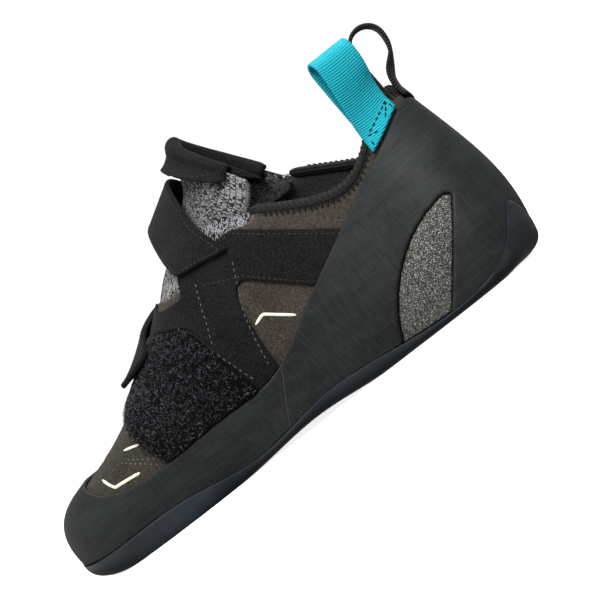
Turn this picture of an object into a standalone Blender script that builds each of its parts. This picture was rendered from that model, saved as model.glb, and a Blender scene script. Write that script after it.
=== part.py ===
# Left climbing shoe: hollow last-shaped upper, rubber rands and sole, knit tongue, two straps, heel loops.
# Toe towards -X, heel towards +X, outer side of the foot towards -Y, standing on its sole at Z = 0.

import bpy
import bmesh
import numpy as np

# Driving dimensions, metres
LENGTH = 0.260
BALL_WIDTH = 0.096
INSTEP_HEIGHT = 0.087
HEEL_HEIGHT = 0.081

# Thicknesses and gaps
SEAT_GAP = 0.0003
UPPER_WALL = 0.0020
RAND_THICK = 0.0015
FABRIC_THICK = 0.0006
OVERLAY_THICK = 0.0010
PAD_THICK = 0.0020
STRAP_THICK = 0.0022
TONGUE_THICK = 0.0018
PULL_THICK = 0.0012
WEBBING_THICK = 0.0015
INSOLE_THICK = 0.0030
STRAP_GAP = 0.0005
STRAP_INNER_GAP = 0.0008

# The built shoe is moved by this much so that its box stands centred on the origin
CENTRE_SHIFT = (-0.0007, -0.0016, 0.0)

# Sections of the last, one row each, numbered round the shoe from the back of the heel along the outer side.
# foot: where the section leaves the sole; edge: where it ends at the collar or throat.
# Along counts from the heel in LENGTH, across from the centre line in BALL_WIDTH, heights in INSTEP_HEIGHT.
# lean: degrees outwards at the sole; arrive: degrees inwards at the edge; low and high: fullness of each end.
# rand: height of the rubber rand, as a share of the section.
LAST_COLUMNS = (
    "name", "foot_along", "foot_across", "foot_height", "edge_along", "edge_across", "edge_height",
    "lean", "arrive", "low", "high", "rand",
)
LAST_ROWS = (
    ("heel_back", 0.018, 0.000, 0.115, 0.035, 0.000, HEEL_HEIGHT / INSTEP_HEIGHT, 17, 13, 0.38, 0.40, 0.93),
    ("heel_outer", 0.044, -0.188, 0.056, 0.069, -0.167, 0.850, 18, 12, 0.38, 0.40, 0.915),
    ("heel_side_outer", 0.173, -0.281, 0.038, 0.158, -0.255, 0.731, 14, 12, 0.38, 0.40, 0.88),
    ("waist_outer", 0.354, -0.323, 0.086, 0.315, -0.260, 0.950, 14, 24, 0.38, 0.40, 0.31),
    ("midfoot_outer", 0.500, -0.406, 0.042, 0.450, -0.188, 1.000, 13, 45, 0.40, 0.42, 0.22),
    ("ball_outer", 0.638, -0.479, 0.095, 0.546, -0.135, 0.855, 10, 60, 0.42, 0.44, 0.18),
    ("little_toe", 0.788, -0.438, 0.103, 0.631, -0.104, 0.655, 8, 72, 0.42, 0.44, 0.275),
    ("toe_outer", 0.919, -0.260, 0.115, 0.685, -0.052, 0.540, 8, 72, 0.42, 0.44, 0.52),
    ("toe_tip", 0.988, 0.063, 0.138, 0.708, 0.042, 0.506, 10, 68, 0.42, 0.44, 0.60),
    ("toe_inner", 0.952, 0.323, 0.115, 0.685, 0.125, 0.540, 8, 72, 0.42, 0.44, 0.52),
    ("big_toe", 0.842, 0.474, 0.115, 0.631, 0.177, 0.655, 8, 72, 0.42, 0.44, 0.33),
    ("ball_inner", 0.673, 0.496, 0.110, 0.546, 0.198, 0.855, 10, 60, 0.42, 0.44, 0.195),
    ("midfoot_inner", 0.519, 0.390, 0.110, 0.450, 0.229, 1.000, 12, 45, 0.40, 0.42, 0.21),
    ("waist_inner", 0.358, 0.313, 0.103, 0.315, 0.260, 0.950, 12, 26, 0.38, 0.40, 0.31),
    ("heel_side_inner", 0.173, 0.281, 0.045, 0.158, 0.255, 0.731, 14, 12, 0.38, 0.40, 0.88),
    ("heel_inner", 0.044, 0.188, 0.060, 0.069, 0.167, 0.850, 18, 12, 0.38, 0.40, 0.915),
)
STATIONS = len(LAST_ROWS)

# Small step used to take slopes of a surface
STEP = 1e-3

# Rounded bottom edge of the sole at each station: how far in it runs and how high it starts, metres
SOLE_COLUMNS = ("edge_in", "edge_up")
SOLE_ROWS = (
    (0.0180, 0.0110), (0.0110, 0.0058), (0.0070, 0.0042), (0.0080, 0.0055),
    (0.0060, 0.0036), (0.0020, 0.0020), (0.0025, 0.0025), (0.0080, 0.0065),
    (0.0130, 0.0090), (0.0150, 0.0090), (0.0180, 0.0090), (0.0180, 0.0090),
    (0.0130, 0.0070), (0.0080, 0.0060), (0.0110, 0.0058), (0.0140, 0.0075),
)
SOLE_EDGE_SHARE = 0.6
SOLE_EDGE_TURNS = (0.0, 35.0, 65.0, 90.0)
SOLE_PROUD = 0.0003
SOLE_LIP_THICK = 0.0005
SOLE_LIP_LEAST = 0.010
HEEL_WRAP_HEIGHT = 0.155
HEEL_WRAP_SPREAD = 0.42
HEEL_WRAP_POWER = 3.0
TOE_SPRING = 0.0085
SPRING_START = 0.79
ARCH_RISE = 0.0050
ARCH_START, ARCH_END = 0.27, 0.57
ARCH_OUTER_SHARE = 0.35

# Grid of the upper: columns to a station, rows below and above the rand's top edge
COLUMNS_PER_STATION = 4
RAND_SEGMENTS = 4
TOP_SEGMENTS = 5
PLATE_SEGMENTS = 6

# The slanted seam between toe rand and heel rand, in stations
SEAM_STATION = 3.5
SEAM_FOOT_SHIFT = 0.10
SEAM_SLANT = 0.39
SEAM_SPREAD = 0.7
SEAM_HALF_GAP = 0.005
RAND_FOOT_RISE = 0.012

# Outlines seen from the outer side, as (along, height) in metres
WINDOW_FRONT_EDGE = ((0.0585, 0.001), (0.0468, 0.022), (0.0262, 0.0378), (0.0088, 0.0390))
WINDOW_BACK_EDGE = ((0.0064, 0.0370), (0.0112, 0.026), (0.0212, 0.014), (0.0352, 0.001))
PAD_OUTLINE = (
    (0.1125, 0.020), (0.1180, 0.0485), (0.1225, 0.0600), (0.1400, 0.0660), (0.1640, 0.0580),
    (0.1690, 0.0520), (0.1705, 0.0450), (0.1660, 0.0340), (0.1580, 0.0200),
)
OVERLAY_OUTLINE = (
    (0.1120, 0.020), (0.1172, 0.0490), (0.1217, 0.0605), (0.1398, 0.0669), (0.1560, 0.0618),
    (0.1600, 0.0700), (0.1430, 0.0760), (0.1345, 0.0712), (0.1180, 0.0700), (0.1180, 0.0790),
    (0.0850, 0.0790), (0.0440, 0.0510), (0.0600, 0.0360), (0.0905, 0.0615), (0.0950, 0.0610),
    (0.0975, 0.0560), (0.0985, 0.0480), (0.1020, 0.0200),
)
CUTTER_DEPTH = 0.060
CUTTER_INNER_SIDE = 0.006
WINDOW_EDGE_POINTS = 10

# Stretch of the upper's grid, in stations, that each side layer is cut from, and its foot above the rand
WINDOW_STATIONS = (0.25, 3.0)
OVERLAY_STATIONS = (1.5, 5.25)
PAD_STATIONS = (3.0, 6.25)
LAYER_FOOT = 0.02

# Tongue sections: station of its outer and inner side, how far each tucks under the upper, and the crown, metres
TONGUE_COLUMNS = ("outer_station", "outer_tuck", "inner_station", "inner_tuck", "crown_along", "crown_height")
TONGUE_ROWS = (
    (7.55, 0.16, 7.55, 0.16, 0.1910, 0.0350),
    (6.80, 0.14, 6.80, 0.14, 0.1770, 0.0430),
    (5.80, 0.13, 5.80, 0.13, 0.1580, 0.0600),
    (5.00, 0.12, 5.00, 0.12, 0.1420, 0.0745),
    (4.20, 0.11, 4.20, 0.11, 0.1270, 0.0885),
    (3.60, 0.10, 3.60, 0.10, 0.1150, 0.0965),
    (3.20, 0.08, 3.25, 0.09, 0.1070, 0.1030),
    (2.92, 0.00, 3.05, 0.06, 0.1035, 0.1105),
    (2.76, -0.13, 2.95, 0.01, 0.1010, 0.1185),
)
TONGUE_OFFSET = -UPPER_WALL - 0.0011
TONGUE_SIDE = 0.18
TONGUE_LEAST_SIDE = 0.03
TONGUE_LENGTH_SEGMENTS = 22
TONGUE_WIDTH_SEGMENTS = 14

# Tab folded over the tongue, in whole segments of the tongue: from its sides, and down its front and back
PULL_SIDE_SEGMENTS = 3
PULL_FRONT_SEGMENTS = 2
PULL_BACK_SEGMENTS = 3
PULL_GAP = 0.0010
PULL_FLARE = 0.0030

# Straps: stations of the rear and front edge at the outer end, at both throat edges and at the inner end, the crown
# of each edge, and where they stop. Stations on the inner side count from the heel as on the outer side.
# On the outer side a strap lies over a layer up to SETTLE_RISE and comes down to its last offset at the throat.
STRAP_WIDTH_SEGMENTS = 4
STRAP_SIDE_SEGMENTS = 6
STRAP_ARCH_SEGMENTS = 10
REAR_STRAP = dict(
    outer_end=(3.12, 3.84), outer_throat=(3.42, 4.22), inner_throat=(3.87, 4.68), inner_end=(3.75, 4.42),
    crowns=((0.1090, 0.1085), (0.1310, 0.0980)), outer_stop=0.84, inner_stop=0.48,
)
FRONT_STRAP = dict(
    outer_end=(4.72, 5.50), outer_throat=(5.20, 6.02), inner_throat=(5.25, 6.08), inner_end=(4.45, 5.05),
    crowns=((0.1480, 0.0735), (0.1660, 0.0597)), outer_stop=0.66, inner_stop=0.245,
)
TIP_LIFT = 0.0025
LIFT_SEGMENTS = 4
SETTLE_RISE = 0.86

# Collar binding from the tongue round the heel, in stations, and its rounded section
BINDING_STATIONS = 2.78
BINDING_WIDTH = 0.0034
BINDING_HEIGHT = 0.0026
BINDING_SEGMENTS = 46
BINDING_TURNS = (150.0, 115.0, 65.0, 30.0)

# Heel loops, columns: name, station of the middle, height of the top fold, gap between the layers, backward lean
LOOP_ROWS = (
    ("pull_loop_outer", 0.76, 0.1078, 0.0068, 0.0030),
    ("pull_loop_inner", STATIONS - 0.53, 0.1080, 0.0120, 0.0025),
)
LOOP_WIDTH = 0.0176
LOOP_WIDTH_SEGMENTS = 4
LOOP_STATION_LENGTH = 0.0205
LOOP_FOOT_GAP = 0.014
LOOP_INSIDE_TUCK = 0.10
LOOP_CLEARANCE = 0.0011
LOOP_STIFFNESS = 0.012
LOOP_SEGMENTS = 7


def clear_scene():
    for item in list(bpy.data.objects):
        bpy.data.objects.remove(item, do_unlink=True)


def periodic_cubic(values, station):
    """Smooth closed curve through one value per station."""
    values = np.asarray(values, float)
    count = len(values)
    index = np.arange(count)
    system = np.zeros((count, count))
    system[index, index] = 4.0
    system[index, (index + 1) % count] = 1.0
    system[index, index - 1] = 1.0
    slopes = np.linalg.solve(system, 3.0 * (np.roll(values, -1) - np.roll(values, 1)))
    place = np.mod(np.asarray(station, float), count)
    low = np.floor(place).astype(int) % count
    part = place - np.floor(place)
    start, end = values[low], values[(low + 1) % count]
    rise, fall = slopes[low], slopes[(low + 1) % count]
    bend = 3.0 * (end - start) - 2.0 * rise - fall
    twist = 2.0 * (start - end) + rise + fall
    return start + part * (rise + part * (bend + part * twist))


def last_column(name, station):
    place = LAST_COLUMNS.index(name)
    return periodic_cubic([row[place] for row in LAST_ROWS], station)


def sole_column(name, station):
    place = SOLE_COLUMNS.index(name)
    return periodic_cubic([row[place] for row in SOLE_ROWS], station)


def plan_point(prefix, station, height):
    """World point of a plan curve of the last, at the given height."""
    along = last_column(prefix + "_along", station) * LENGTH
    across = last_column(prefix + "_across", station) * BALL_WIDTH
    return np.stack([LENGTH / 2 - along, across, np.broadcast_to(height, along.shape)], -1)


def plan_inward(prefix, station):
    """Level unit vector pointing into the shoe, square to a plan curve."""
    ahead = plan_point(prefix, station + STEP, 0.0)
    behind = plan_point(prefix, station - STEP, 0.0)
    run = ahead - behind
    inward = np.stack([run[..., 1], -run[..., 0], np.zeros(run.shape[:-1])], -1)
    return inward / np.linalg.norm(inward, axis=-1, keepdims=True)


def last_point(station, rise):
    """Surface of the last: a cubic section from the sole (rise 0) to the edge (rise 1) at each station."""
    station, rise = np.broadcast_arrays(np.asarray(station, float), np.asarray(rise, float))
    foot = plan_point("foot", station, last_column("foot_height", station) * INSTEP_HEIGHT)
    edge = plan_point("edge", station, last_column("edge_height", station) * INSTEP_HEIGHT)
    upward = np.array([0.0, 0.0, 1.0])
    lean = np.radians(last_column("lean", station))[..., None]
    arrive = np.radians(last_column("arrive", station))[..., None]
    span = np.linalg.norm(edge - foot, axis=-1, keepdims=True)
    low = last_column("low", station)[..., None] * span
    high = last_column("high", station)[..., None] * span
    first = foot + low * (upward * np.cos(lean) - plan_inward("foot", station) * np.sin(lean))
    second = edge - high * (upward * np.cos(arrive) + plan_inward("edge", station) * np.sin(arrive))
    part = rise[..., None]
    rest = 1.0 - part
    return rest**3 * foot + 3 * part * rest**2 * first + 3 * part**2 * rest * second + part**3 * edge


def last_normal(station, rise):
    """Unit normal of the last's surface, pointing out of the shoe."""
    along = last_point(station + STEP, rise) - last_point(station - STEP, rise)
    upward = last_point(station, rise + STEP) - last_point(station, rise - STEP)
    normal = np.cross(upward, along)
    return normal / np.linalg.norm(normal, axis=-1, keepdims=True)


def skin_point(station, rise, offset):
    """Point at a distance outside (or, below zero, inside) the last's surface."""
    station, rise = np.broadcast_arrays(np.asarray(station, float), np.asarray(rise, float))
    offset = np.broadcast_to(offset, station.shape)
    return last_point(station, rise) + last_normal(station, rise) * offset[..., None]


def seam_shift(column, level):
    """Shift of a grid column that slants the two rand seams."""
    place = np.mod(column, STATIONS)
    outer = np.exp(-(((place - SEAM_STATION) / SEAM_SPREAD) ** 2))
    inner = np.exp(-(((place - STATIONS + SEAM_STATION) / SEAM_SPREAD) ** 2))
    return (outer - inner) * (SEAM_FOOT_SHIFT - SEAM_SLANT * np.minimum(level, 1.0))


def grid_place(column, level):
    """Station and rise of a grid place: level 0 to 1 covers the rand, 1 to 2 the upper above it."""
    column, level = np.broadcast_arrays(np.asarray(column, float), np.asarray(level, float))
    station = column + seam_shift(column, level)
    top = last_column("rand", station)
    rise = np.where(level < 1.0, level * top, top + (level - 1.0) * (1.0 - top))
    return station, rise


def grid_skin(columns, levels, offset, least_rise=0.0):
    station, rise = grid_place(columns[None, :], levels[:, None])
    return skin_point(station, np.maximum(rise, least_rise), offset)


def sheet_faces(rows, columns, wrap):
    """Triangles of a grid of points, all split along the same diagonal."""
    faces = []
    for row in range(rows - 1):
        for column in range(columns if wrap else columns - 1):
            beside = (column + 1) % columns
            low_left, low_right = row * columns + column, row * columns + beside
            high_left, high_right = low_left + columns, low_right + columns
            faces.append((low_left, high_left, high_right))
            faces.append((low_left, high_right, low_right))
    return faces


def bezier(controls, count):
    """Points of a cubic curve from four control points."""
    part = np.linspace(0.0, 1.0, count)[:, None]
    rest = 1.0 - part
    first, second, third, fourth = (np.asarray(point, float) for point in controls)
    return rest**3 * first + 3 * part * rest**2 * second + 3 * part**2 * rest * third + part**3 * fourth


def make_material(name, colour, roughness):
    material = bpy.data.materials.new(name)
    material.use_nodes = True
    shader = material.node_tree.nodes["Principled BSDF"]
    shader.inputs["Base Color"].default_value = (*colour, 1.0)
    shader.inputs["Roughness"].default_value = roughness
    shader.inputs["Metallic"].default_value = 0.0
    return material


def make_object(name, points, faces, material, collection, parent):
    mesh = bpy.data.meshes.new(name)
    mesh.from_pydata(np.reshape(points, (-1, 3)).tolist(), [], faces)
    mesh.shade_smooth()
    mesh.materials.append(material)
    item = bpy.data.objects.new(name, mesh)
    collection.objects.link(item)
    item.parent = parent
    return item


def face_outwards(item):
    work = bmesh.new()
    work.from_mesh(item.data)
    bmesh.ops.recalc_face_normals(work, faces=work.faces)
    work.to_mesh(item.data)
    work.free()


def thicken(item, thickness, outwards):
    """Gives an open sheet its wall, on the side its faces point to or away from it."""
    solidify = item.modifiers.new("wall", "SOLIDIFY")
    solidify.thickness = thickness
    solidify.offset = 1.0 if outwards else -1.0
    solidify.use_even_offset = False


def trim(item, cutter, operation):
    cut = item.modifiers.new("trim", "BOOLEAN")
    cut.operation = operation
    cut.object = cutter
    cut.solver = "EXACT"


def outline_cutter(name, outline, material, collection, parent, inset=0.0):
    """Prism through the outer side of the shoe, its outline given as (along, height)."""
    outline = np.asarray(outline, float)
    middle = outline.mean(axis=0)
    reach = outline - middle
    outline = outline - inset * reach / np.linalg.norm(reach, axis=1, keepdims=True)
    count = len(outline)
    near = np.stack([LENGTH / 2 - outline[:, 0], np.full(count, -CUTTER_DEPTH), outline[:, 1]], -1)
    far = near.copy()
    far[:, 1] = -CUTTER_INNER_SIDE
    faces = [tuple(range(count)), tuple(range(2 * count - 1, count - 1, -1))]
    for index in range(count):
        beside = (index + 1) % count
        faces.append((index, index + count, beside + count, beside))
    cutter = make_object(name, np.concatenate([near, far]), faces, material, collection, parent)
    face_outwards(cutter)
    cutter.hide_render = True
    cutter.display_type = "WIRE"
    return cutter


def grid_columns(start=0.0, end=STATIONS):
    first = int(np.ceil(start * COLUMNS_PER_STATION))
    last = int(np.floor(end * COLUMNS_PER_STATION))
    return np.arange(first, last + 1) / COLUMNS_PER_STATION


def make_upper(material, collection, parent):
    """One hollow shell, open at the collar and throat and underneath."""
    columns = grid_columns()[:-1]
    levels = np.concatenate([
        np.linspace(0.0, 1.0, RAND_SEGMENTS + 1),
        np.linspace(1.0, 2.0, TOP_SEGMENTS + 1)[1:],
    ])
    points = grid_skin(columns, levels, 0.0)
    faces = sheet_faces(len(levels), len(columns), wrap=True)
    upper = make_object("upper", points, faces, material, collection, parent)
    thicken(upper, UPPER_WALL, outwards=False)
    return upper


def make_rand(name, start, end, material, collection, parent):
    """Rubber rand between two seams, on the upper's own grid."""
    columns = grid_columns(start, end)
    columns[0] += SEAM_HALF_GAP
    columns[-1] -= SEAM_HALF_GAP
    levels = np.linspace(0.0, 1.0, RAND_SEGMENTS + 1)
    points = grid_skin(columns, levels, SEAT_GAP, RAND_FOOT_RISE)
    faces = sheet_faces(len(levels), len(columns), wrap=False)
    rand = make_object(name, points, faces, material, collection, parent)
    thicken(rand, RAND_THICK, outwards=True)
    return rand


def make_heel_window(cutter, material, collection, parent):
    """Fabric panel on the upper, seen through the window of the heel rand."""
    columns = grid_columns(*WINDOW_STATIONS)
    levels = np.linspace(0.0, 1.0, RAND_SEGMENTS + 1)
    points = grid_skin(columns, levels, SEAT_GAP, RAND_FOOT_RISE)
    faces = sheet_faces(len(levels), len(columns), wrap=False)
    panel = make_object("heel_window", points, faces, material, collection, parent)
    thicken(panel, FABRIC_THICK, outwards=True)
    trim(panel, cutter, "INTERSECT")
    return panel


def make_side_layer(name, stations, thickness, cutter, material, collection, parent):
    """Layer sewn on the outer side above the rand, cut to its outline."""
    columns = grid_columns(*stations)
    levels = np.linspace(1.0, 2.0, TOP_SEGMENTS + 1)
    levels[0] += LAYER_FOOT
    points = grid_skin(columns, levels, SEAT_GAP)
    faces = sheet_faces(len(levels), len(columns), wrap=False)
    layer = make_object(name, points, faces, material, collection, parent)
    thicken(layer, thickness, outwards=True)
    trim(layer, cutter, "INTERSECT")
    return layer


def floor_level(point):
    """Height of the sole's underside: flat at heel and ball, with arch and toe spring."""
    along = (LENGTH / 2 - point[..., 0]) / LENGTH
    across = point[..., 1] / BALL_WIDTH
    spring = TOE_SPRING * np.clip((along - SPRING_START) / (1.0 - SPRING_START), 0.0, None) ** 2
    span = np.clip((along - ARCH_START) / (ARCH_END - ARCH_START), 0.0, 1.0)
    inner_share = np.clip(across + 0.5, 0.0, 1.0)
    arch = ARCH_RISE * np.sin(np.pi * span) ** 2
    return spring + arch * (ARCH_OUTER_SHARE + (1.0 - ARCH_OUTER_SHARE) * inner_share)


def plate_rows(ring):
    """Rows of points across a ring of columns, joining each column to the one opposite."""
    half = len(ring) // 2
    outer = ring[1:half]
    inner = ring[:half:-1]
    share = np.linspace(0.0, 1.0, PLATE_SEGMENTS + 1)[1:-1, None, None]
    return outer + (inner - outer) * share


def plate_faces(count, ring_start, inside_start):
    """Triangles of a plate closed by a ring: strips across it, with a fan at heel and toe."""
    half = count // 2
    rows = half - 1

    def place(row, step):
        if step == 0:
            return ring_start + row + 1
        if step == PLATE_SEGMENTS:
            return ring_start + count - row - 1
        return inside_start + (step - 1) * rows + row

    faces = []
    for step in range(PLATE_SEGMENTS):
        faces.append((ring_start, place(0, step), place(0, step + 1)))
        faces.append((ring_start + half, place(rows - 1, step + 1), place(rows - 1, step)))
        for row in range(rows - 1):
            faces.append((place(row, step), place(row + 1, step), place(row + 1, step + 1)))
            faces.append((place(row, step), place(row + 1, step + 1), place(row, step + 1)))
    return faces


def ringed_solid(name, rings, first_plate, last_plate, material, collection, parent):
    """Closed solid from a stack of rings with a plate across the first and the last of them."""
    count = len(rings[0])
    faces = sheet_faces(len(rings), count, wrap=True)
    ring_points = np.concatenate(rings)
    first_inside = first_plate.reshape(-1, 3)
    faces += plate_faces(count, 0, len(ring_points))
    faces += plate_faces(count, len(ring_points) - count, len(ring_points) + len(first_inside))
    points = np.concatenate([ring_points, first_inside, last_plate.reshape(-1, 3)])
    item = make_object(name, points, faces, material, collection, parent)
    face_outwards(item)
    return item


def foot_ring(columns, outward):
    """Plan ring at the foot of the last, moved level by a distance outwards."""
    station = grid_place(columns, 0.0)[0]
    ring = last_point(station, np.zeros_like(station))
    return ring - plan_inward("foot", station) * np.broadcast_to(outward, station.shape)[:, None]


def make_outsole(material, collection, parent):
    """Sole with toe spring, arch, crisp forefoot edge, rounded heel and a lip that wraps up the heel."""
    columns = grid_columns()[:-1]
    station = grid_place(columns, 0.0)[0]
    from_heel = np.minimum(station, STATIONS - station)
    wrap = np.exp(-((from_heel / HEEL_WRAP_SPREAD) ** HEEL_WRAP_POWER))
    lip = SOLE_LIP_LEAST + HEEL_WRAP_HEIGHT * wrap
    inner_offset = RAND_THICK + 2 * SEAT_GAP
    outer_offset = inner_offset + SOLE_LIP_THICK
    seat = foot_ring(columns, -UPPER_WALL - SEAT_GAP)
    seat[:, 2] -= SEAT_GAP
    seat_rim = foot_ring(columns, inner_offset)
    seat_rim[:, 2] -= SEAT_GAP
    lip_in = skin_point(station, lip, inner_offset)
    lip_out = skin_point(station, lip, outer_offset)
    lip_side = skin_point(station, lip / 2, outer_offset + SOLE_PROUD / 2)
    rings = [seat, seat_rim, lip_in, lip_out, lip_side]
    edge_in = sole_column("edge_in", station)
    side_height = seat_rim[:, 2] - floor_level(seat_rim)
    edge_up = np.minimum(sole_column("edge_up", station), SOLE_EDGE_SHARE * side_height)
    for turn in np.radians(SOLE_EDGE_TURNS):
        ring = foot_ring(columns, outer_offset + SOLE_PROUD - edge_in * (1.0 - np.cos(turn)))
        ring[:, 2] = floor_level(ring) + edge_up * (1.0 - np.sin(turn))
        rings.append(ring)
    underside = plate_rows(rings[-1])
    underside[..., 2] = floor_level(underside)
    return ringed_solid("outsole", rings, plate_rows(seat), underside, material, collection, parent)


def make_insole(material, collection, parent):
    """Flat footbed lying on the sole inside the upper."""
    columns = grid_columns()[:-1]
    under = foot_ring(columns, -UPPER_WALL - 2 * SEAT_GAP)
    over = under.copy()
    over[:, 2] += INSOLE_THICK
    return ringed_solid(
        "insole", [over, under], plate_rows(over), plate_rows(under), material, collection, parent
    )


def tongue_column(name, part):
    """Tongue table read along the tongue, part 0 at the toe end and 1 at the top, by cubic pieces."""
    place = TONGUE_COLUMNS.index(name)
    values = np.array([row[place] for row in TONGUE_ROWS])
    slopes = np.gradient(values)
    spot = np.clip(part, 0.0, 1.0) * (len(values) - 1)
    low = np.minimum(spot.astype(int), len(values) - 2)
    step = spot - low
    bend = 3.0 * (values[low + 1] - values[low]) - 2.0 * slopes[low] - slopes[low + 1]
    twist = 2.0 * (values[low] - values[low + 1]) + slopes[low] + slopes[low + 1]
    return values[low] + step * (slopes[low] + step * (bend + step * twist))


def arch(start, crown, end, share):
    """Curve from start to end that passes through the crown half way."""
    control = 2.0 * crown - (start + end) / 2.0
    share = share[..., None]
    return (1.0 - share) ** 2 * start + 2.0 * share * (1.0 - share) * control + share**2 * end


def tongue_side(side, part, share):
    """One side of the tongue, lying inside the upper; share 0 at its tucked edge and 1 where the arch starts."""
    foot = 1.0 - tongue_column(side + "_tuck", part)
    climb = np.maximum(1.0 - foot, TONGUE_LEAST_SIDE)
    station = tongue_column(side + "_station", part)
    if side == "inner":
        station = STATIONS - station
    return skin_point(station, foot + climb * np.clip(share, 0.0, 1.0), TONGUE_OFFSET)


def tongue_point(part, share):
    """Outer face of the tongue: its two sides lie inside the upper, and an arch spans the throat between them."""
    part, share = np.broadcast_arrays(np.asarray(part, float), np.asarray(share, float))
    outer_side = tongue_side("outer", part, share / TONGUE_SIDE)
    inner_side = tongue_side("inner", part, (1.0 - share) / TONGUE_SIDE)
    crown = (outer_side + inner_side) / 2.0
    crown[..., 0] = LENGTH / 2 - tongue_column("crown_along", part)
    crown[..., 2] = tongue_column("crown_height", part)
    span = np.clip((share - TONGUE_SIDE) / (1.0 - 2.0 * TONGUE_SIDE), 0.0, 1.0)
    return arch(outer_side, crown, inner_side, span)


def make_tongue(material, collection, parent):
    part = np.linspace(0.0, 1.0, TONGUE_LENGTH_SEGMENTS + 1)
    share = np.linspace(0.0, 1.0, TONGUE_WIDTH_SEGMENTS + 1)
    points = tongue_point(part[:, None], share[None, :])
    faces = sheet_faces(len(part), len(share), wrap=False)
    tongue = make_object("tongue", points, faces, material, collection, parent)
    thicken(tongue, TONGUE_THICK, outwards=False)
    return tongue


def tongue_normal(part, share):
    """Unit normal of the tongue, pointing out of the shoe."""
    along = tongue_point(part + STEP, share) - tongue_point(part - STEP, share)
    across = tongue_point(part, share + STEP) - tongue_point(part, share - STEP)
    normal = np.cross(along, across)
    return normal / np.linalg.norm(normal, axis=-1, keepdims=True)


def make_tongue_pull(material, collection, parent):
    """Suede tab folded over the top of the tongue, one flap in front of it and one behind."""
    near, far = PULL_GAP, PULL_GAP + PULL_THICK
    behind_near, behind_far = -TONGUE_THICK - near, -TONGUE_THICK - far
    front = np.arange(-PULL_FRONT_SEGMENTS, 1) / TONGUE_LENGTH_SEGMENTS + 1.0
    back = np.arange(0, -PULL_BACK_SEGMENTS - 1, -1) / TONGUE_LENGTH_SEGMENTS + 1.0
    flare = PULL_FLARE * (front < front[1])
    profile = [(part, near + out, 0.0) for part, out in zip(front, flare)]
    profile += [(1.0, near, near), (1.0, behind_near, near)]
    profile += [(part, behind_near, 0.0) for part in back]
    profile += [(part, behind_far, 0.0) for part in back[::-1]]
    profile += [(1.0, behind_near, far), (1.0, near, far)]
    profile += [(part, far + out, 0.0) for part, out in zip(front[::-1], flare[::-1])]
    widths = np.arange(PULL_SIDE_SEGMENTS, TONGUE_WIDTH_SEGMENTS - PULL_SIDE_SEGMENTS + 1)
    share = widths / TONGUE_WIDTH_SEGMENTS
    rows = []
    for part, offset, lift in profile:
        place = np.full_like(share, part)
        row = tongue_point(place, share) + tongue_normal(np.minimum(place, 1.0 - STEP), share) * offset
        row[:, 2] += lift
        rows.append(row)
    return swept_solid("tongue_pull", np.array(rows), material, collection, parent)


def swept_solid(name, rows, material, collection, parent):
    """Solid from a closed profile (rows) carried along a path (columns), with flat ends."""
    sides, steps = rows.shape[:2]
    points = rows.transpose(1, 0, 2)
    faces = sheet_faces(steps, sides, wrap=True)
    faces.append(tuple(range(sides)))
    faces.append(tuple(range((steps - 1) * sides + sides - 1, (steps - 1) * sides - 1, -1)))
    item = make_object(name, points, faces, material, collection, parent)
    face_outwards(item)
    return item


def strap_path(strap, share, offsets, lift):
    """Line along a strap at a share of its width, from its outer end over the crown to its inner end.

    On each side it lies on the skin while its station drifts from its end to the throat, and an arch spans the throat.
    """
    outer_end, outer_throat, inner_throat, inner_end = (
        np.interp(share, (0.0, 1.0), strap[name])
        for name in ("outer_end", "outer_throat", "inner_throat", "inner_end")
    )
    outer_rise = np.linspace(strap["outer_stop"], 1.0, STRAP_SIDE_SEGMENTS + 1)
    outer_station = np.linspace(outer_end, outer_throat, STRAP_SIDE_SEGMENTS + 1)
    fade = np.clip(1.0 - np.arange(STRAP_SIDE_SEGMENTS + 1) / LIFT_SEGMENTS, 0.0, None)
    seated = np.interp(outer_rise, (SETTLE_RISE, 1.0), offsets[:2])
    outer = skin_point(outer_station, outer_rise, seated + lift * share * fade**2)
    inner_rise = np.linspace(1.0, strap["inner_stop"], STRAP_SIDE_SEGMENTS + 1)
    inner_station = STATIONS - np.linspace(inner_throat, inner_end, STRAP_SIDE_SEGMENTS + 1)
    inner = skin_point(inner_station, inner_rise, offsets[2])
    rear_crown, front_crown = (np.array(crown) for crown in strap["crowns"])
    crown = rear_crown + (front_crown - rear_crown) * share
    top = (outer[-1] + inner[0]) / 2.0
    top[0] = LENGTH / 2 - crown[0]
    top[2] = crown[1]
    spread = np.linspace(0.0, 1.0, STRAP_ARCH_SEGMENTS + 1)[1:-1]
    return np.concatenate([outer, arch(outer[-1], top, inner[0], spread), inner])


def make_strap(name, strap, offsets, lift, material, collection, parent):
    """Strap over the instep between its rear and front edges; its outer end lifts towards the front edge."""
    shares = np.linspace(0.0, 1.0, STRAP_WIDTH_SEGMENTS + 1)
    paths = [strap_path(strap, share, offsets, lift) for share in shares]
    points = np.array(paths[::-1])
    faces = sheet_faces(points.shape[0], points.shape[1], wrap=False)
    strap_item = make_object(name, points, faces, material, collection, parent)
    thicken(strap_item, STRAP_THICK, outwards=True)
    return strap_item


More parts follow.
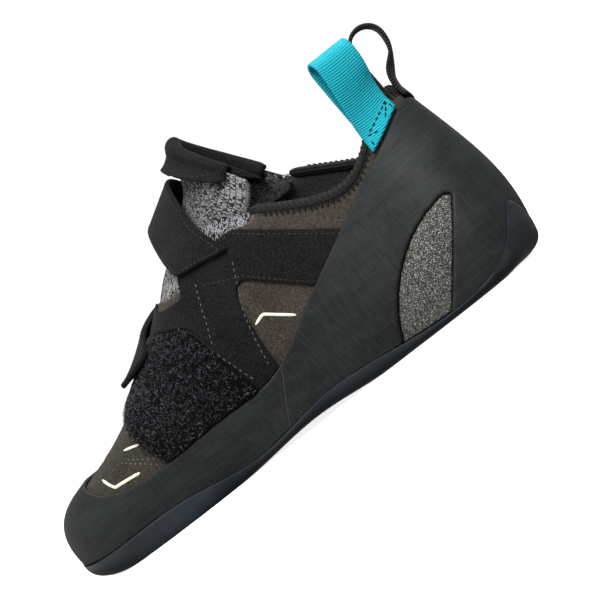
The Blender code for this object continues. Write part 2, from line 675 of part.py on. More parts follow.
def make_binding(material, collection, parent):
    """Bound edge along the collar, from one side of the tongue round the heel to the other."""
    station = np.linspace(-BINDING_STATIONS, BINDING_STATIONS, BINDING_SEGMENTS + 1)
    top = np.ones_like(station)
    edge = last_point(station, top)
    outward = last_normal(station, top)
    upward = edge - last_point(station, top - STEP)
    upward /= np.linalg.norm(upward, axis=-1, keepdims=True)
    middle = -UPPER_WALL / 2
    rows = [edge + outward * (middle - BINDING_WIDTH / 2) + upward * SEAT_GAP]
    for turn in np.radians(BINDING_TURNS):
        sideways = middle + BINDING_WIDTH / 2 * np.cos(turn)
        rows.append(edge + outward * sideways + upward * (SEAT_GAP + BINDING_HEIGHT * np.sin(turn)))
    rows.append(edge + outward * (middle + BINDING_WIDTH / 2) + upward * SEAT_GAP)
    return swept_solid("collar_binding", np.array(rows), material, collection, parent)


def loop_lines(row, side):
    """Middle line of a heel loop at one place across the webbing, outside end first, and its square direction.

    Below the collar the webbing follows the curved heel; above it, it flattens towards the top fold.
    """
    middle_station, top_height, opening, lean = row[1:]
    station = np.array(middle_station + side / LOOP_STATION_LENGTH)
    out_offset = LOOP_CLEARANCE + WEBBING_THICK / 2
    in_offset = -UPPER_WALL - LOOP_CLEARANCE - WEBBING_THICK / 2
    rand_rise = last_column("rand", station)
    outside = skin_point(station, np.linspace(rand_rise + LOOP_FOOT_GAP, 1.0, 3), out_offset)
    inside = skin_point(station, np.linspace(1.0, 1.0 - LOOP_INSIDE_TUCK, 3), in_offset)
    middle_edge = last_point(np.array(middle_station), np.array(1.0))
    outward = -plan_inward("edge", np.array(middle_station))
    sideways = np.array([outward[1], -outward[0], 0.0])
    radius = (opening + WEBBING_THICK) / 2
    fold = middle_edge + outward * lean + sideways * side
    fold[2] = top_height - radius - WEBBING_THICK / 2
    reach = np.array([0.0, 0.0, LOOP_STIFFNESS])
    front, back = fold + outward * radius, fold - outward * radius
    rising = bezier((outside[-1], outside[-1] + reach, front - reach, front), LOOP_SEGMENTS)
    turn = np.linspace(0.0, np.pi, LOOP_SEGMENTS)[1:-1, None]
    folded = fold + outward * radius * np.cos(turn) + np.array([0.0, 0.0, radius]) * np.sin(turn)
    falling = bezier((back, back - reach, inside[0] + reach, inside[0]), LOOP_SEGMENTS)
    line = np.concatenate([outside[:-1], rising, folded, falling, inside[1:]])
    run = np.gradient(line, axis=0)
    square = np.cross(run, sideways)
    return line, square / np.linalg.norm(square, axis=1, keepdims=True)


def make_loop(row, material, collection, parent):
    """Webbing loop standing over the collar, one end outside the upper and one inside."""
    rows = []
    for side in np.linspace(-LOOP_WIDTH / 2, LOOP_WIDTH / 2, LOOP_WIDTH_SEGMENTS + 1):
        line, square = loop_lines(row, side)
        half = square * WEBBING_THICK / 2
        rows.append(np.concatenate([line + half, (line - half)[::-1]]))
    return swept_solid(row[0], np.array(rows).transpose(1, 0, 2), material, collection, parent)


def build():
    clear_scene()
    parts = bpy.data.collections.new("climbing_shoe")
    cutters = bpy.data.collections.new("climbing_shoe_cutters")
    bpy.context.scene.collection.children.link(parts)
    bpy.context.scene.collection.children.link(cutters)
    root = bpy.data.objects.new("shoe_root", None)
    root.location = CENTRE_SHIFT
    parts.objects.link(root)

    suede = make_material("brown_suede", (0.062, 0.050, 0.041), 0.90)
    black_suede = make_material("black_suede", (0.018, 0.018, 0.018), 0.92)
    rand_rubber = make_material("rand_rubber", (0.033, 0.035, 0.035), 0.62)
    sole_rubber = make_material("sole_rubber", (0.017, 0.020, 0.025), 0.45)
    knit = make_material("grey_knit", (0.24, 0.24, 0.26), 0.95)
    window_fabric = make_material("window_fabric", (0.15, 0.15, 0.145), 0.90)
    loop_pile = make_material("loop_pile", (0.014, 0.014, 0.018), 1.00)
    binding_tape = make_material("binding_tape", (0.016, 0.016, 0.016), 0.85)
    footbed = make_material("footbed", (0.055, 0.055, 0.058), 0.95)
    turquoise_webbing = make_material("turquoise_webbing", (0.013, 0.42, 0.52), 0.60)
    black_webbing = make_material("black_webbing", (0.016, 0.016, 0.017), 0.70)

    window_edges = (WINDOW_FRONT_EDGE, WINDOW_BACK_EDGE)
    window_outline = np.concatenate([bezier(edge, WINDOW_EDGE_POINTS) for edge in window_edges])
    window_cutter = outline_cutter("window_cutter", window_outline, window_fabric, cutters, root)
    panel_cutter = outline_cutter(
        "window_panel_cutter", window_outline, window_fabric, cutters, root, inset=2 * SEAT_GAP
    )
    pad_cutter = outline_cutter("pad_cutter", PAD_OUTLINE, loop_pile, cutters, root)
    overlay_cutter = outline_cutter("overlay_cutter", OVERLAY_OUTLINE, black_suede, cutters, root)

    make_upper(suede, parts, root)
    make_rand("toe_rand", SEAM_STATION, STATIONS - SEAM_STATION, rand_rubber, parts, root)
    heel_rand = make_rand("heel_rand", -SEAM_STATION, SEAM_STATION, rand_rubber, parts, root)
    trim(heel_rand, window_cutter, "DIFFERENCE")
    make_heel_window(panel_cutter, window_fabric, parts, root)
    make_outsole(sole_rubber, parts, root)
    make_insole(footbed, parts, root)
    make_tongue(knit, parts, root)
    make_tongue_pull(black_suede, parts, root)
    make_side_layer(
        "side_overlay", OVERLAY_STATIONS, OVERLAY_THICK, overlay_cutter, black_suede, parts, root
    )
    make_side_layer("loop_pad", PAD_STATIONS, PAD_THICK, pad_cutter, loop_pile, parts, root)
    on_overlay = OVERLAY_THICK + SEAT_GAP + STRAP_GAP
    on_pad = PAD_THICK + SEAT_GAP + STRAP_GAP
    rear_offsets = (on_overlay, on_overlay, STRAP_INNER_GAP)
    front_offsets = (on_pad, on_overlay, STRAP_INNER_GAP)
    make_strap("rear_strap", REAR_STRAP, rear_offsets, 0.0, black_suede, parts, root)
    make_strap("front_strap", FRONT_STRAP, front_offsets, TIP_LIFT, black_suede, parts, root)
    make_binding(binding_tape, parts, root)
    for row, webbing in zip(LOOP_ROWS, (turquoise_webbing, black_webbing)):
        make_loop(row, webbing, parts, root)


build()
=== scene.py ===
"""Looks of the left climbing shoe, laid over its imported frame.

The toe points to -X, the heel to +X, the outer side of the foot to -Y, and the floor is Z = 0.
Every visible piece is a smooth surface worked out from the sections of the last.
"""

import bmesh
import bpy
import numpy as np
from mathutils import Matrix, Vector


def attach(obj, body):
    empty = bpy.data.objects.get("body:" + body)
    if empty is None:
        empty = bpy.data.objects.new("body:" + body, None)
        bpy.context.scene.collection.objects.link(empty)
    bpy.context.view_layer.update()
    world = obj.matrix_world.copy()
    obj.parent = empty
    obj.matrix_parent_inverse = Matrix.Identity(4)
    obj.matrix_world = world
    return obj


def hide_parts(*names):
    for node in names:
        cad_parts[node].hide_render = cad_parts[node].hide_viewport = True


# Driving dimensions, metres
LENGTH = 0.260
BALL_WIDTH = 0.096
INSTEP_HEIGHT = 0.087
HEEL_HEIGHT = 0.081
CENTRE_SHIFT = np.array([-0.0007, -0.0016, 0.0])

# Thicknesses and gaps, metres
SEAT_GAP = 0.0003
UPPER_WALL = 0.0020
UPPER_RIM_CROWN = 0.0002
RAND_THICK = 0.0015
FABRIC_THICK = 0.0006
OVERLAY_THICK = 0.0010
PAD_THICK = 0.0020
STRAP_THICK = 0.0022
STRAP_GAP = 0.0005
STRAP_INNER_GAP = 0.0008
TONGUE_THICK = 0.0018
PULL_THICK = 0.0012
PULL_GAP = 0.0010
WEBBING_THICK = 0.0015
WEBBING_THREAD = 0.00052
KNIT_WALE, KNIT_COURSE = 0.00100, 0.00078
INSOLE_THICK = 0.0030
INSOLE_RIM = 0.002

# Sections of the last, one row each, round the shoe from the back of the heel along the outer side.
# Along counts from the heel in LENGTH, across from the centre line in BALL_WIDTH, heights in INSTEP_HEIGHT.
LAST_COLUMNS = (
    "name", "foot_along", "foot_across", "foot_height", "edge_along", "edge_across", "edge_height",
    "lean", "arrive", "low", "high", "rand",
)
LAST_ROWS = (
    ("heel_back", 0.018, 0.000, 0.115, 0.035, 0.000, HEEL_HEIGHT / INSTEP_HEIGHT, 17, 13, 0.38, 0.40, 0.93),
    ("heel_outer", 0.044, -0.188, 0.056, 0.069, -0.167, 0.850, 18, 12, 0.38, 0.40, 0.915),
    ("heel_side_outer", 0.173, -0.281, 0.038, 0.158, -0.255, 0.731, 14, 12, 0.38, 0.40, 0.88),
    ("waist_outer", 0.354, -0.323, 0.086, 0.315, -0.260, 0.950, 14, 24, 0.38, 0.40, 0.31),
    ("midfoot_outer", 0.500, -0.406, 0.042, 0.450, -0.188, 1.000, 13, 45, 0.40, 0.42, 0.22),
    ("ball_outer", 0.638, -0.479, 0.095, 0.546, -0.135, 0.855, 10, 60, 0.42, 0.44, 0.18),
    ("little_toe", 0.788, -0.438, 0.103, 0.631, -0.104, 0.655, 8, 72, 0.42, 0.44, 0.275),
    ("toe_outer", 0.919, -0.260, 0.115, 0.685, -0.052, 0.540, 8, 72, 0.42, 0.44, 0.52),
    ("toe_tip", 0.988, 0.063, 0.138, 0.708, 0.042, 0.506, 10, 68, 0.42, 0.44, 0.60),
    ("toe_inner", 0.952, 0.323, 0.115, 0.685, 0.125, 0.540, 8, 72, 0.42, 0.44, 0.52),
    ("big_toe", 0.842, 0.474, 0.115, 0.631, 0.177, 0.655, 8, 72, 0.42, 0.44, 0.33),
    ("ball_inner", 0.673, 0.496, 0.110, 0.546, 0.198, 0.855, 10, 60, 0.42, 0.44, 0.195),
    ("midfoot_inner", 0.519, 0.390, 0.110, 0.450, 0.229, 1.000, 12, 45, 0.40, 0.42, 0.21),
    ("waist_inner", 0.358, 0.313, 0.103, 0.315, 0.260, 0.950, 12, 26, 0.38, 0.40, 0.31),
    ("heel_side_inner", 0.173, 0.281, 0.045, 0.158, 0.255, 0.731, 14, 12, 0.38, 0.40, 0.88),
    ("heel_inner", 0.044, 0.188, 0.060, 0.069, 0.167, 0.850, 18, 12, 0.38, 0.40, 0.915),
)
STATIONS = len(LAST_ROWS)

# Small steps and limits for slopes, welds and searches
STEP = 1e-3
SIDE_VIEW_OFFSET = 0.001
WELD_DISTANCE = 2e-6
ON_OUTLINE = 5e-5
TINY_AREA, TINY_HEIGHT, TINY_SQUARE = 1e-9, 1e-12, 1e-16
SEARCH_STEPS, SNAP_STEPS = 14, 4
COLUMN_REACH, LEVEL_REACH = 0.3, 0.2
OUTLINE_CORNER_POINTS, PATH_CORNER_POINTS = 7, 6

# How far in from its side the sole's rounded bottom edge runs, one value for each station, metres
SOLE_EDGE_IN = (
    0.0180, 0.0110, 0.0070, 0.0080, 0.0060, 0.0020, 0.0025, 0.0080,
    0.0130, 0.0150, 0.0180, 0.0180, 0.0130, 0.0080, 0.0110, 0.0140,
)
DOME_RISE = 0.014
DOME_FULLNESS = 0.70
SOLE_PROUD = 0.0003
SOLE_LIP_THICK = 0.0005
SOLE_THIN_EDGE = 0.0001
SOLE_EDGE_SWELL = 1.4
SOLE_LIP_LEAST = 0.010
HEEL_WRAP_HEIGHT = 0.155
HEEL_WRAP_SPREAD = 0.52
HEEL_WRAP_POWER = 1.7
TOE_SPRING = 0.0085
SPRING_START = 0.79
ARCH_RISE = 0.0050
ARCH_START, ARCH_END = 0.27, 0.57
ARCH_OUTER_SHARE = 0.35

# The slanted seam between toe rand and heel rand, in stations, with its edge radius in metres,
# and the lowest rise of the rands
SEAM_STATION = 3.5
SEAM_FOOT_SHIFT = 0.10
SEAM_SLANT = 0.39
SEAM_SPREAD = 0.7
SEAM_HALF_GAP = 0.0008
SEAM_ROUNDING = 0.00015
RAND_FOOT_RISE = 0.012

# Outlines seen from the outer side, as (along, height) in metres
WINDOW_FRONT_EDGE = ((0.0585, 0.001), (0.0468, 0.022), (0.0262, 0.0378), (0.0088, 0.0390))
WINDOW_BACK_EDGE = ((0.0064, 0.0370), (0.0112, 0.026), (0.0212, 0.014), (0.0352, 0.001))
WINDOW_TOP_EDGE = ((0.0088, 0.0390), (0.0079, 0.0391), (0.0067, 0.0385), (0.0064, 0.0370))
PAD_OUTLINE = (
    (0.1125, 0.020), (0.1180, 0.0485), (0.1225, 0.0600), (0.1400, 0.0660), (0.1640, 0.0580),
    (0.1690, 0.0520), (0.1705, 0.0450), (0.1660, 0.0340), (0.1580, 0.0200),
)
LAYER_GROWTH = 0.00035
OVERLAY_OUTLINE = (
    (0.1120, 0.020), (0.1172, 0.0490), (0.1217, 0.0605), (0.1398, 0.0669), (0.1560, 0.0618),
    (0.1600, 0.0700), (0.1430, 0.0760), (0.1345, 0.0712), (0.1180, 0.0700), (0.1180, 0.0790),
    (0.0850, 0.0790), (0.0440, 0.0510), (0.0600, 0.0360), (0.0905, 0.0615), (0.0950, 0.0610),
    (0.0975, 0.0560), (0.0985, 0.0480), (0.1020, 0.0200),
)

# Tongue sections: station of its outer and inner side, how far each tucks under the upper,
# and the place of its crown along the shoe and its height in metres
TONGUE_COLUMNS = ("outer_station", "outer_tuck", "inner_station", "inner_tuck", "crown_along", "crown_height")
TONGUE_ROWS = (
    (7.55, 0.16, 7.55, 0.16, 0.1910, 0.0350),
    (6.80, 0.14, 6.80, 0.14, 0.1770, 0.0430),
    (5.80, 0.13, 5.80, 0.13, 0.1580, 0.0600),
    (5.00, 0.12, 5.00, 0.12, 0.1420, 0.0745),
    (4.20, 0.11, 4.20, 0.11, 0.1270, 0.0885),
    (3.60, 0.10, 3.60, 0.10, 0.1150, 0.0965),
    (3.20, 0.08, 3.25, 0.09, 0.1070, 0.1030),
    (2.92, 0.00, 3.05, 0.06, 0.1035, 0.1105),
    (2.76, -0.13, 2.95, 0.01, 0.1010, 0.1185),
)
TONGUE_GAP = 0.0011
TONGUE_OFFSET = -UPPER_WALL - TONGUE_GAP
TONGUE_SIDE = 0.18
TONGUE_LEAST_SIDE = 0.03

# Straps: stations of the rear and front edge at the outer end, at both throat edges and at the inner end,
# the crown of each edge, and where they stop. Inner stations count from the heel as the outer ones do.
REAR_STRAP = dict(
    outer_end=(3.12, 3.84), outer_throat=(3.42, 4.22), inner_throat=(3.87, 4.68), inner_end=(3.75, 4.42),
    crowns=((0.1090, 0.1085), (0.1310, 0.0980)), outer_stop=0.84, inner_stop=0.48,
)
FRONT_STRAP = dict(
    outer_end=(4.72, 5.50), outer_throat=(5.20, 6.02), inner_throat=(5.25, 6.08), inner_end=(4.45, 5.05),
    crowns=((0.1480, 0.0735), (0.1660, 0.0597)), outer_stop=0.66, inner_stop=0.245,
)
STRAP_END_CORNER = 0.30
STRAP_COUNTS = (44, 60, 44)
STRAP_SOFTENING = 10
TIP_LIFT = 0.0025
TIP_FADE = 0.67
SETTLE_RISE = 0.86

# Tongue pull: parts of its run where the fold starts and ends, reach of its flaps down the tongue,
# its width as a share of the tongue, and its corners, flare and waves
PULL_FOLD_START, PULL_FOLD_END = 0.40, 0.56
PULL_FRONT_REACH, PULL_BACK_REACH = 0.105, 0.135
PULL_SHARE = 0.285
PULL_CORNER, PULL_NARROWEST = 0.30, 0.30
PULL_FRONT_FLARE, PULL_BACK_FLARE = 0.0048, 0.0058
PULL_FLARE_END, PULL_FLARE_START = 0.30, 0.60
PULL_TOP_WAVE, PULL_FLAP_WAVE = 0.0009, 0.0007

# Collar binding: its run in stations, sizes in metres, and the turns of its section; then the zigzag over it
BINDING_STATIONS = 2.78
BINDING_WIDTH = 0.0034
BINDING_HEIGHT = 0.0026
TAPE_TURN = np.radians(-25.0)
TAPE_GIRTH = 0.006
TAPE_END_ROUNDING = 0.0035
TAPE_END_SIZE = 0.25
TAPE_INNER_OVERRUN, TAPE_OUTER_OVERRUN = 0.17, 0.06
ZIGZAG_PITCH = 0.0024
ZIGZAG_REACH = 0.0019
ZIGZAG_TURN = np.radians(95.0)
ZIGZAG_DROP = 0.0008
ZIGZAG_STAND = 0.00055
ZIGZAG_INSET = 0.03

# Heel loops: name, middle station, height of the top, opening and lean; sizes in metres
LOOP_ROWS = (
    ("pull_loop_outer", 0.76, 0.1078, 0.0068, 0.0030),
    ("pull_loop_inner", STATIONS - 0.53, 0.1080, 0.0120, 0.0025),
)
LOOP_WIDTH = 0.0176
LOOP_STATION_LENGTH = 0.0205
LOOP_FOOT_GAP = 0.014
LOOP_INSIDE_TUCK = 0.10
LOOP_CLEARANCE = 0.0011
LOOP_STIFFNESS = 0.012
LOOP_POINTS = 130

# Soft creases of the upper: start and end as (station, rise), depth and half width in metres
CREASE_ROWS = (
    ((5.95, 0.34), (6.70, 0.62), 0.00035, 0.0020),
    ((6.60, 0.45), (7.60, 0.72), 0.00030, 0.0022),
    ((9.30, 0.62), (10.30, 0.50), 0.00045, 0.0024),
    ((10.40, 0.40), (11.30, 0.62), 0.00050, 0.0026),
    ((11.10, 0.34), (11.80, 0.60), 0.00045, 0.0024),
    ((12.60, 0.40), (12.90, 0.78), 0.00035, 0.0026),
    ((13.20, 0.55), (13.90, 0.80), 0.00040, 0.0024),
    ((2.45, 0.78), (2.90, 0.90), 0.00030, 0.0020),
)
CREASE_POINTS = 9
CREASE_RIDGE, CREASE_RIDGE_PLACE = 0.45, 2.0

# Edge of the suede beside the tongue, as (station, rise): above it the skin is the knit of the gusset
KNIT_EDGES = (
    ((2.74, 1.02), (2.87, 0.96), (3.07, 0.91), (3.40, 0.89), (3.62, 0.90), (3.71, 0.875),
     (3.80, 0.845), (3.95, 0.825), (4.18, 0.83), (4.50, 0.88), (4.90, 0.97), (5.10, 1.02)),
    ((10.90, 1.02), (11.10, 0.97), (11.60, 0.90), (12.20, 0.90), (12.70, 0.93), (13.05, 0.99), (13.15, 1.02)),
)
KNIT_STEP = 0.0007
KNIT_SOFTNESS = 0.006

# Radii of rounded edges, metres
RAND_ROUNDING = 0.0006
LAYER_ROUNDING = 0.0007
CLOTH_ROUNDING = 0.0003
PAD_ROUNDING = 0.0010
TONGUE_ROUNDING = 0.0009
STRAP_ROUNDING = 0.0009
PULL_ROUNDING = 0.0006
WEBBING_ROUNDING = 0.0007

# Rough lengths of one station and of a whole rise, and of whole pieces, metres
PLACE_RUN = np.array([0.03, 0.08])
RAND_STATION_RUN, RAND_RISE_RUN = 0.038, 0.062
LAYER_LEVEL_RUN = 0.04
TONGUE_WIDTH, TONGUE_LENGTH, TONGUE_CLOTH_WIDTH = 0.075, 0.150, 0.078
PULL_HALF_WIDTH, PULL_LENGTH = 0.018, 0.042
STRAP_WIDTH = 0.020

# Grids: steps for each station round the shoe, rows of the lining, first and last column and level
# of each layer with their counts, and the levels and columns close to the edges of the rands
UPPER_STEPS, SOLE_STEPS, INSOLE_STEPS = 28, 26, 14
LINING_ROWS = 22
OVERLAY_GRID = ((1.5, 5.25, 230), (1.004, 2.0, 120))
PAD_GRID = ((3.0, 6.25, 210), (1.004, 2.0, 110))
WINDOW_GRID = ((0.25, 3.0, 150), (0.0, 0.95, 96))
RAND_EVEN_TOP = 0.975
RAND_EDGE_LEVELS = (0.985, 0.992, 0.997, 1.0)
SEAM_CLOSE_COLUMNS = np.array([0.006, 0.013])

# Outline corners, as a radius in metres and as the largest share of a side, and forms of the layers in metres
OVERLAY_CORNER = 0.0045
PAD_CORNER = 0.0050
CORNER_SHARE = 0.45
WINDOW_GAP = 0.00015
WINDOW_SWELL, WINDOW_SWELL_RUN = 0.0004, 0.006
TUFT_HEIGHT = 0.00016
TUFT_FADE = (0.0003, 0.0020)

# Pile fibres: number tried, sunk root, bare margin, half thickness, and ranges of height and reach, metres
FIBRES_TRIED = 16000
FIBRE_ROOT = 0.0003
FIBRE_MARGIN = 0.0003
FIBRE_THICK = 0.00010
FIBRE_HEIGHTS = (0.0004, 0.0010)
FIBRE_REACHES = (0.0006, 0.0016)
FIBRE_COLUMNS, FIBRE_LEVELS = (3.4, 6.0), (1.01, 1.99)
FIBRE_PARTS = (0.0, 0.35, 0.7, 1.0)
FIBRE_CURL = 0.80 * np.pi
FIBRE_BEND = 1.3
FIBRE_TAPER = 0.5
# Power on the fibres' random tone that keeps the pale ones, which are painted glints, few
FIBRE_GLINT_CONTRAST = 3.2

# Stitches: pitch, share of it that shows, half thickness and, where it is even, height over the face, metres
ON_OVERLAY = SEAT_GAP + OVERLAY_THICK
PALE_STITCH = (0.0025, 0.62, 0.00015)
GREY_STITCH = (0.0022, 0.68, 0.00017, ON_OVERLAY)
LOOP_STITCH = (0.0024, 0.88, 0.00030, 0.00012)
STRAP_STITCH = (0.0023, 0.70, 0.00016, 0.00002)
PULL_STITCH = (0.0022, 0.70, 0.00015, 0.00002)
ZIGZAG_THICK, ZIGZAG_HEIGHT = 0.00028, 0.00016
STITCH_EDGE = 0.085
STITCH_END = 0.0022
STITCH_ARCH, STITCH_SINK = 1.3, 0.9
STITCH_THINNEST = 0.08
THREAD_SIDES = 6

# Printed lines on the suede: name, (station, rise) places and width in metres
PRINT_LINES = (
    ("toe_print_line", ((6.13, 0.390), (5.80, 0.270), (5.34, 0.230)), 0.0014),
    ("pad_print_line", ((5.58, 0.41), (5.22, 0.350)), 0.0011),
    ("window_print_line", ((3.24, 0.470), (3.13, 0.500), (2.86, 0.420)), 0.0013),
)
STRAP_PRINT_PLACES = ((0.20, 0.0125), (0.42, 0.0173), (0.72, 0.0090))

# Bands of print and glue: heights, depths, roundings, corners and widths, metres
PRINT_HEIGHT = 0.00014
BAND_DEPTH, BAND_EDGE_DEPTH = 0.00025, 0.00005
BAND_END_ROUNDING, BAND_END_SIZE = 0.0030, 0.20
BAND_EDGE_SHARE = 0.20
PRINT_CORNER, STRAP_PRINT_CORNER = 0.0009, 0.0012
STRAP_PRINT_RUN = np.array([0.022, 1.0])
STRAP_PRINT_WIDTH = 0.0012
SEAM_LINE_WIDTH, SEAM_LINE_HEIGHT = 0.00034, 0.00011
SEAM_LINE_LEVELS = (0.05, 0.985)

# Camera and stage: angles in degrees, lengths in metres, the picture and the aim's offset in pixels
AZIMUTH, ELEVATION, ROLL = 32.0, 0.8, 39.0
CAMERA_DISTANCE = 1.30
PIXELS_PER_METRE = 2540.0
PICTURE_WIDTH = 600.0
SENSOR_MILLIMETRES = 36.0
AIM_HEIGHT = 0.045
AIM_RIGHT, AIM_UP = 60.0, 34.9
FLOOR_HALF_SIZE = 80.0
PAPER_GLOW = 0.85
SURROUND_STRENGTH = 1.05
SURROUND_TONES = ((0.0, 0.16), (0.470, 0.16), (0.488, 1.0), (0.565, 1.0), (0.62, 0.15), (1.0, 0.26))


# The last and its skin

def cubic(part, first, second, third, fourth):
    """Point of a cubic curve at a part of its run, from its four control points."""
    rest = 1.0 - part
    return rest**3 * first + 3 * part * rest**2 * second + 3 * part**2 * rest * third + part**3 * fourth


def parabola(part, start, corner, end):
    """Point of a parabola that leaves its start and reaches its end in the directions of the corner."""
    return (1.0 - part) ** 2 * start + 2.0 * part * (1.0 - part) * corner + part**2 * end


def cubic_piece(part, start, end, rise, fall):
    """Cubic from start to end with the given slopes at its two ends."""
    bend = 3.0 * (end - start) - 2.0 * rise - fall
    twist = 2.0 * (start - end) + rise + fall
    return start + part * (rise + part * (bend + part * twist))


def periodic_cubic(values, station):
    """Smooth closed curve through one value per station: cubic pieces whose slopes and bends agree."""
    values = np.asarray(values, float)
    count = len(values)
    index = np.arange(count)
    system = np.zeros((count, count))
    system[index, index] = 4.0
    system[index, (index + 1) % count] = 1.0
    system[index, index - 1] = 1.0
    slopes = np.linalg.solve(system, 3.0 * (np.roll(values, -1) - np.roll(values, 1)))
    place = np.mod(np.asarray(station, float), count)
    low = np.floor(place).astype(int) % count
    high = (low + 1) % count
    return cubic_piece(place - np.floor(place), values[low], values[high], slopes[low], slopes[high])


def last_column(name, station):
    """One column of the last's table, read smoothly between its stations."""
    place = LAST_COLUMNS.index(name)
    return periodic_cubic([row[place] for row in LAST_ROWS], station)


def plan_point(prefix, station, height):
    """Point of a plan curve of the last, at the given height."""
    along = last_column(prefix + "_along", station) * LENGTH
    across = last_column(prefix + "_across", station) * BALL_WIDTH
    return np.stack([LENGTH / 2 - along, across, np.broadcast_to(height, along.shape)], -1)


def unit(vectors):
    """Vectors scaled to length one."""
    return vectors / np.linalg.norm(vectors, axis=-1, keepdims=True)


def plan_inward(prefix, station):
    """Level unit vector pointing into the shoe, square to a plan curve."""
    run = plan_point(prefix, station + STEP, 0.0) - plan_point(prefix, station - STEP, 0.0)
    return unit(np.stack([run[..., 1], -run[..., 0], np.zeros(run.shape[:-1])], -1))


def last_point(station, rise):
    """Surface of the last: a cubic section from the sole (rise 0) to the edge (rise 1) at each station."""
    station, rise = np.broadcast_arrays(np.asarray(station, float), np.asarray(rise, float))
    foot = plan_point("foot", station, last_column("foot_height", station) * INSTEP_HEIGHT)
    edge = plan_point("edge", station, last_column("edge_height", station) * INSTEP_HEIGHT)
    upward = np.array([0.0, 0.0, 1.0])
    lean = np.radians(last_column("lean", station))[..., None]
    arrive = np.radians(last_column("arrive", station))[..., None]
    span = np.linalg.norm(edge - foot, axis=-1, keepdims=True)
    low = last_column("low", station)[..., None] * span
    high = last_column("high", station)[..., None] * span
    first = foot + low * (upward * np.cos(lean) - plan_inward("foot", station) * np.sin(lean))
    second = edge - high * (upward * np.cos(arrive) + plan_inward("edge", station) * np.sin(arrive))
    return cubic(rise[..., None], foot, first, second, edge)


def last_normal(station, rise):
    """Unit normal of the last's surface, pointing out of the shoe."""
    along = last_point(station + STEP, rise) - last_point(station - STEP, rise)
    upward = last_point(station, rise + STEP) - last_point(station, rise - STEP)
    return unit(np.cross(upward, along))


def skin_point(station, rise, offset):
    """Point at a distance outside (or, below zero, inside) the last's surface."""
    station, rise = np.broadcast_arrays(np.asarray(station, float), np.asarray(rise, float))
    offset = np.broadcast_to(offset, station.shape)
    return last_point(station, rise) + last_normal(station, rise) * offset[..., None]


def seam_shift(column, level):
    """Shift of a grid column that slants the two rand seams."""
    place = np.mod(column, STATIONS)
    outer = np.exp(-(((place - SEAM_STATION) / SEAM_SPREAD) ** 2))
    inner = np.exp(-(((place - STATIONS + SEAM_STATION) / SEAM_SPREAD) ** 2))
    return (outer - inner) * (SEAM_FOOT_SHIFT - SEAM_SLANT * np.minimum(level, 1.0))


def grid_place(column, level):
    """Station and rise of a grid place: level 0 to 1 covers the rand, 1 to 2 the upper above it."""
    column, level = np.broadcast_arrays(np.asarray(column, float), np.asarray(level, float))
    station = column + seam_shift(column, level)
    top = last_column("rand", station)
    rise = np.where(level < 1.0, level * top, top + (level - 1.0) * (1.0 - top))
    return station, rise


# Curves and grids

def bezier(controls, count):
    """Points of a cubic curve from four control points."""
    return cubic(np.linspace(0.0, 1.0, count)[:, None], *np.array(controls, float))


def edged(count, crowding):
    """Steps from 0 to 1 that crowd towards both ends: a straight run mixed with a cosine one."""
    even = np.linspace(0.0, 1.0, count)
    return (1.0 - crowding) * even + crowding * (1.0 - np.cos(np.pi * even)) / 2.0


def rounding(distance, radius):
    """Quarter-circle edge profile: 0 at the edge, 1 from one radius in."""
    return np.sqrt(1.0 - (1.0 - np.clip(distance / radius, 0.0, 1.0)) ** 2)


def ease(value, start, end):
    """Smooth step from 0 at start to 1 at end."""
    part = np.clip((value - start) / (end - start), 0.0, 1.0)
    return part * part * (3.0 - 2.0 * part)


def run_lengths(points):
    """Distance along a line of points."""
    steps = np.linalg.norm(np.diff(points, axis=0), axis=-1)
    return np.concatenate([[0.0], np.cumsum(steps)])


def along_line(places, lengths, values):
    """Rows of values read at places along a line, by straight mixing."""
    return np.stack([np.interp(places, lengths, column) for column in values.T], -1)


def resample(points, count):
    """Points at even distances along a line."""
    lengths = run_lengths(points)
    return along_line(np.linspace(0.0, lengths[-1], count), lengths, points)


def end_gap(places):
    """Distance to the nearer end, along the last axis."""
    return np.minimum(places - places[..., :1], places[..., -1:] - places)


def ring_columns(steps):
    """Grid columns round the whole shoe, a number of steps for each station."""
    return np.linspace(0.0, STATIONS, STATIONS * steps + 1)[:-1]


def grid_normal(grid):
    """Unit normals of a grid of points, from its slopes along rows and columns."""
    return unit(np.cross(np.gradient(grid, axis=0), np.gradient(grid, axis=1)))


def cell_corners(values):
    """Values at the four corners of each cell of a grid."""
    return np.stack([values[:-1, :-1], values[1:, :-1], values[1:, 1:], values[:-1, 1:]])


def from_side(point):
    """(along, height) of points, as seen from the side."""
    return np.stack([LENGTH / 2 - point[..., 0], point[..., 2]], -1)


def rounded_outline(corners, radius):
    """Closed outline with each corner replaced by a parabola that starts one radius before it."""
    corners = np.asarray(corners, float)
    before = np.roll(corners, 1, axis=0) - corners
    after = np.roll(corners, -1, axis=0) - corners
    before_length = np.linalg.norm(before, axis=1, keepdims=True)
    after_length = np.linalg.norm(after, axis=1, keepdims=True)
    entry = corners + before / before_length * np.minimum(radius, CORNER_SHARE * before_length)
    leave = corners + after / after_length * np.minimum(radius, CORNER_SHARE * after_length)
    part = np.linspace(0.0, 1.0, OUTLINE_CORNER_POINTS)[None, :, None]
    return parabola(part, entry[:, None], corners[:, None], leave[:, None]).reshape(-1, 2)


def grown(outline, distance):
    """Outline moved outwards by a distance, along the square of the line through each point's neighbours."""
    ahead = np.roll(outline, -1, axis=0)
    run = unit(ahead - np.roll(outline, 1, axis=0))
    area = (outline[:, 0] * ahead[:, 1] - outline[:, 1] * ahead[:, 0]).sum()
    return outline + np.sign(area) * distance * np.stack([run[:, 1], -run[:, 0]], -1)


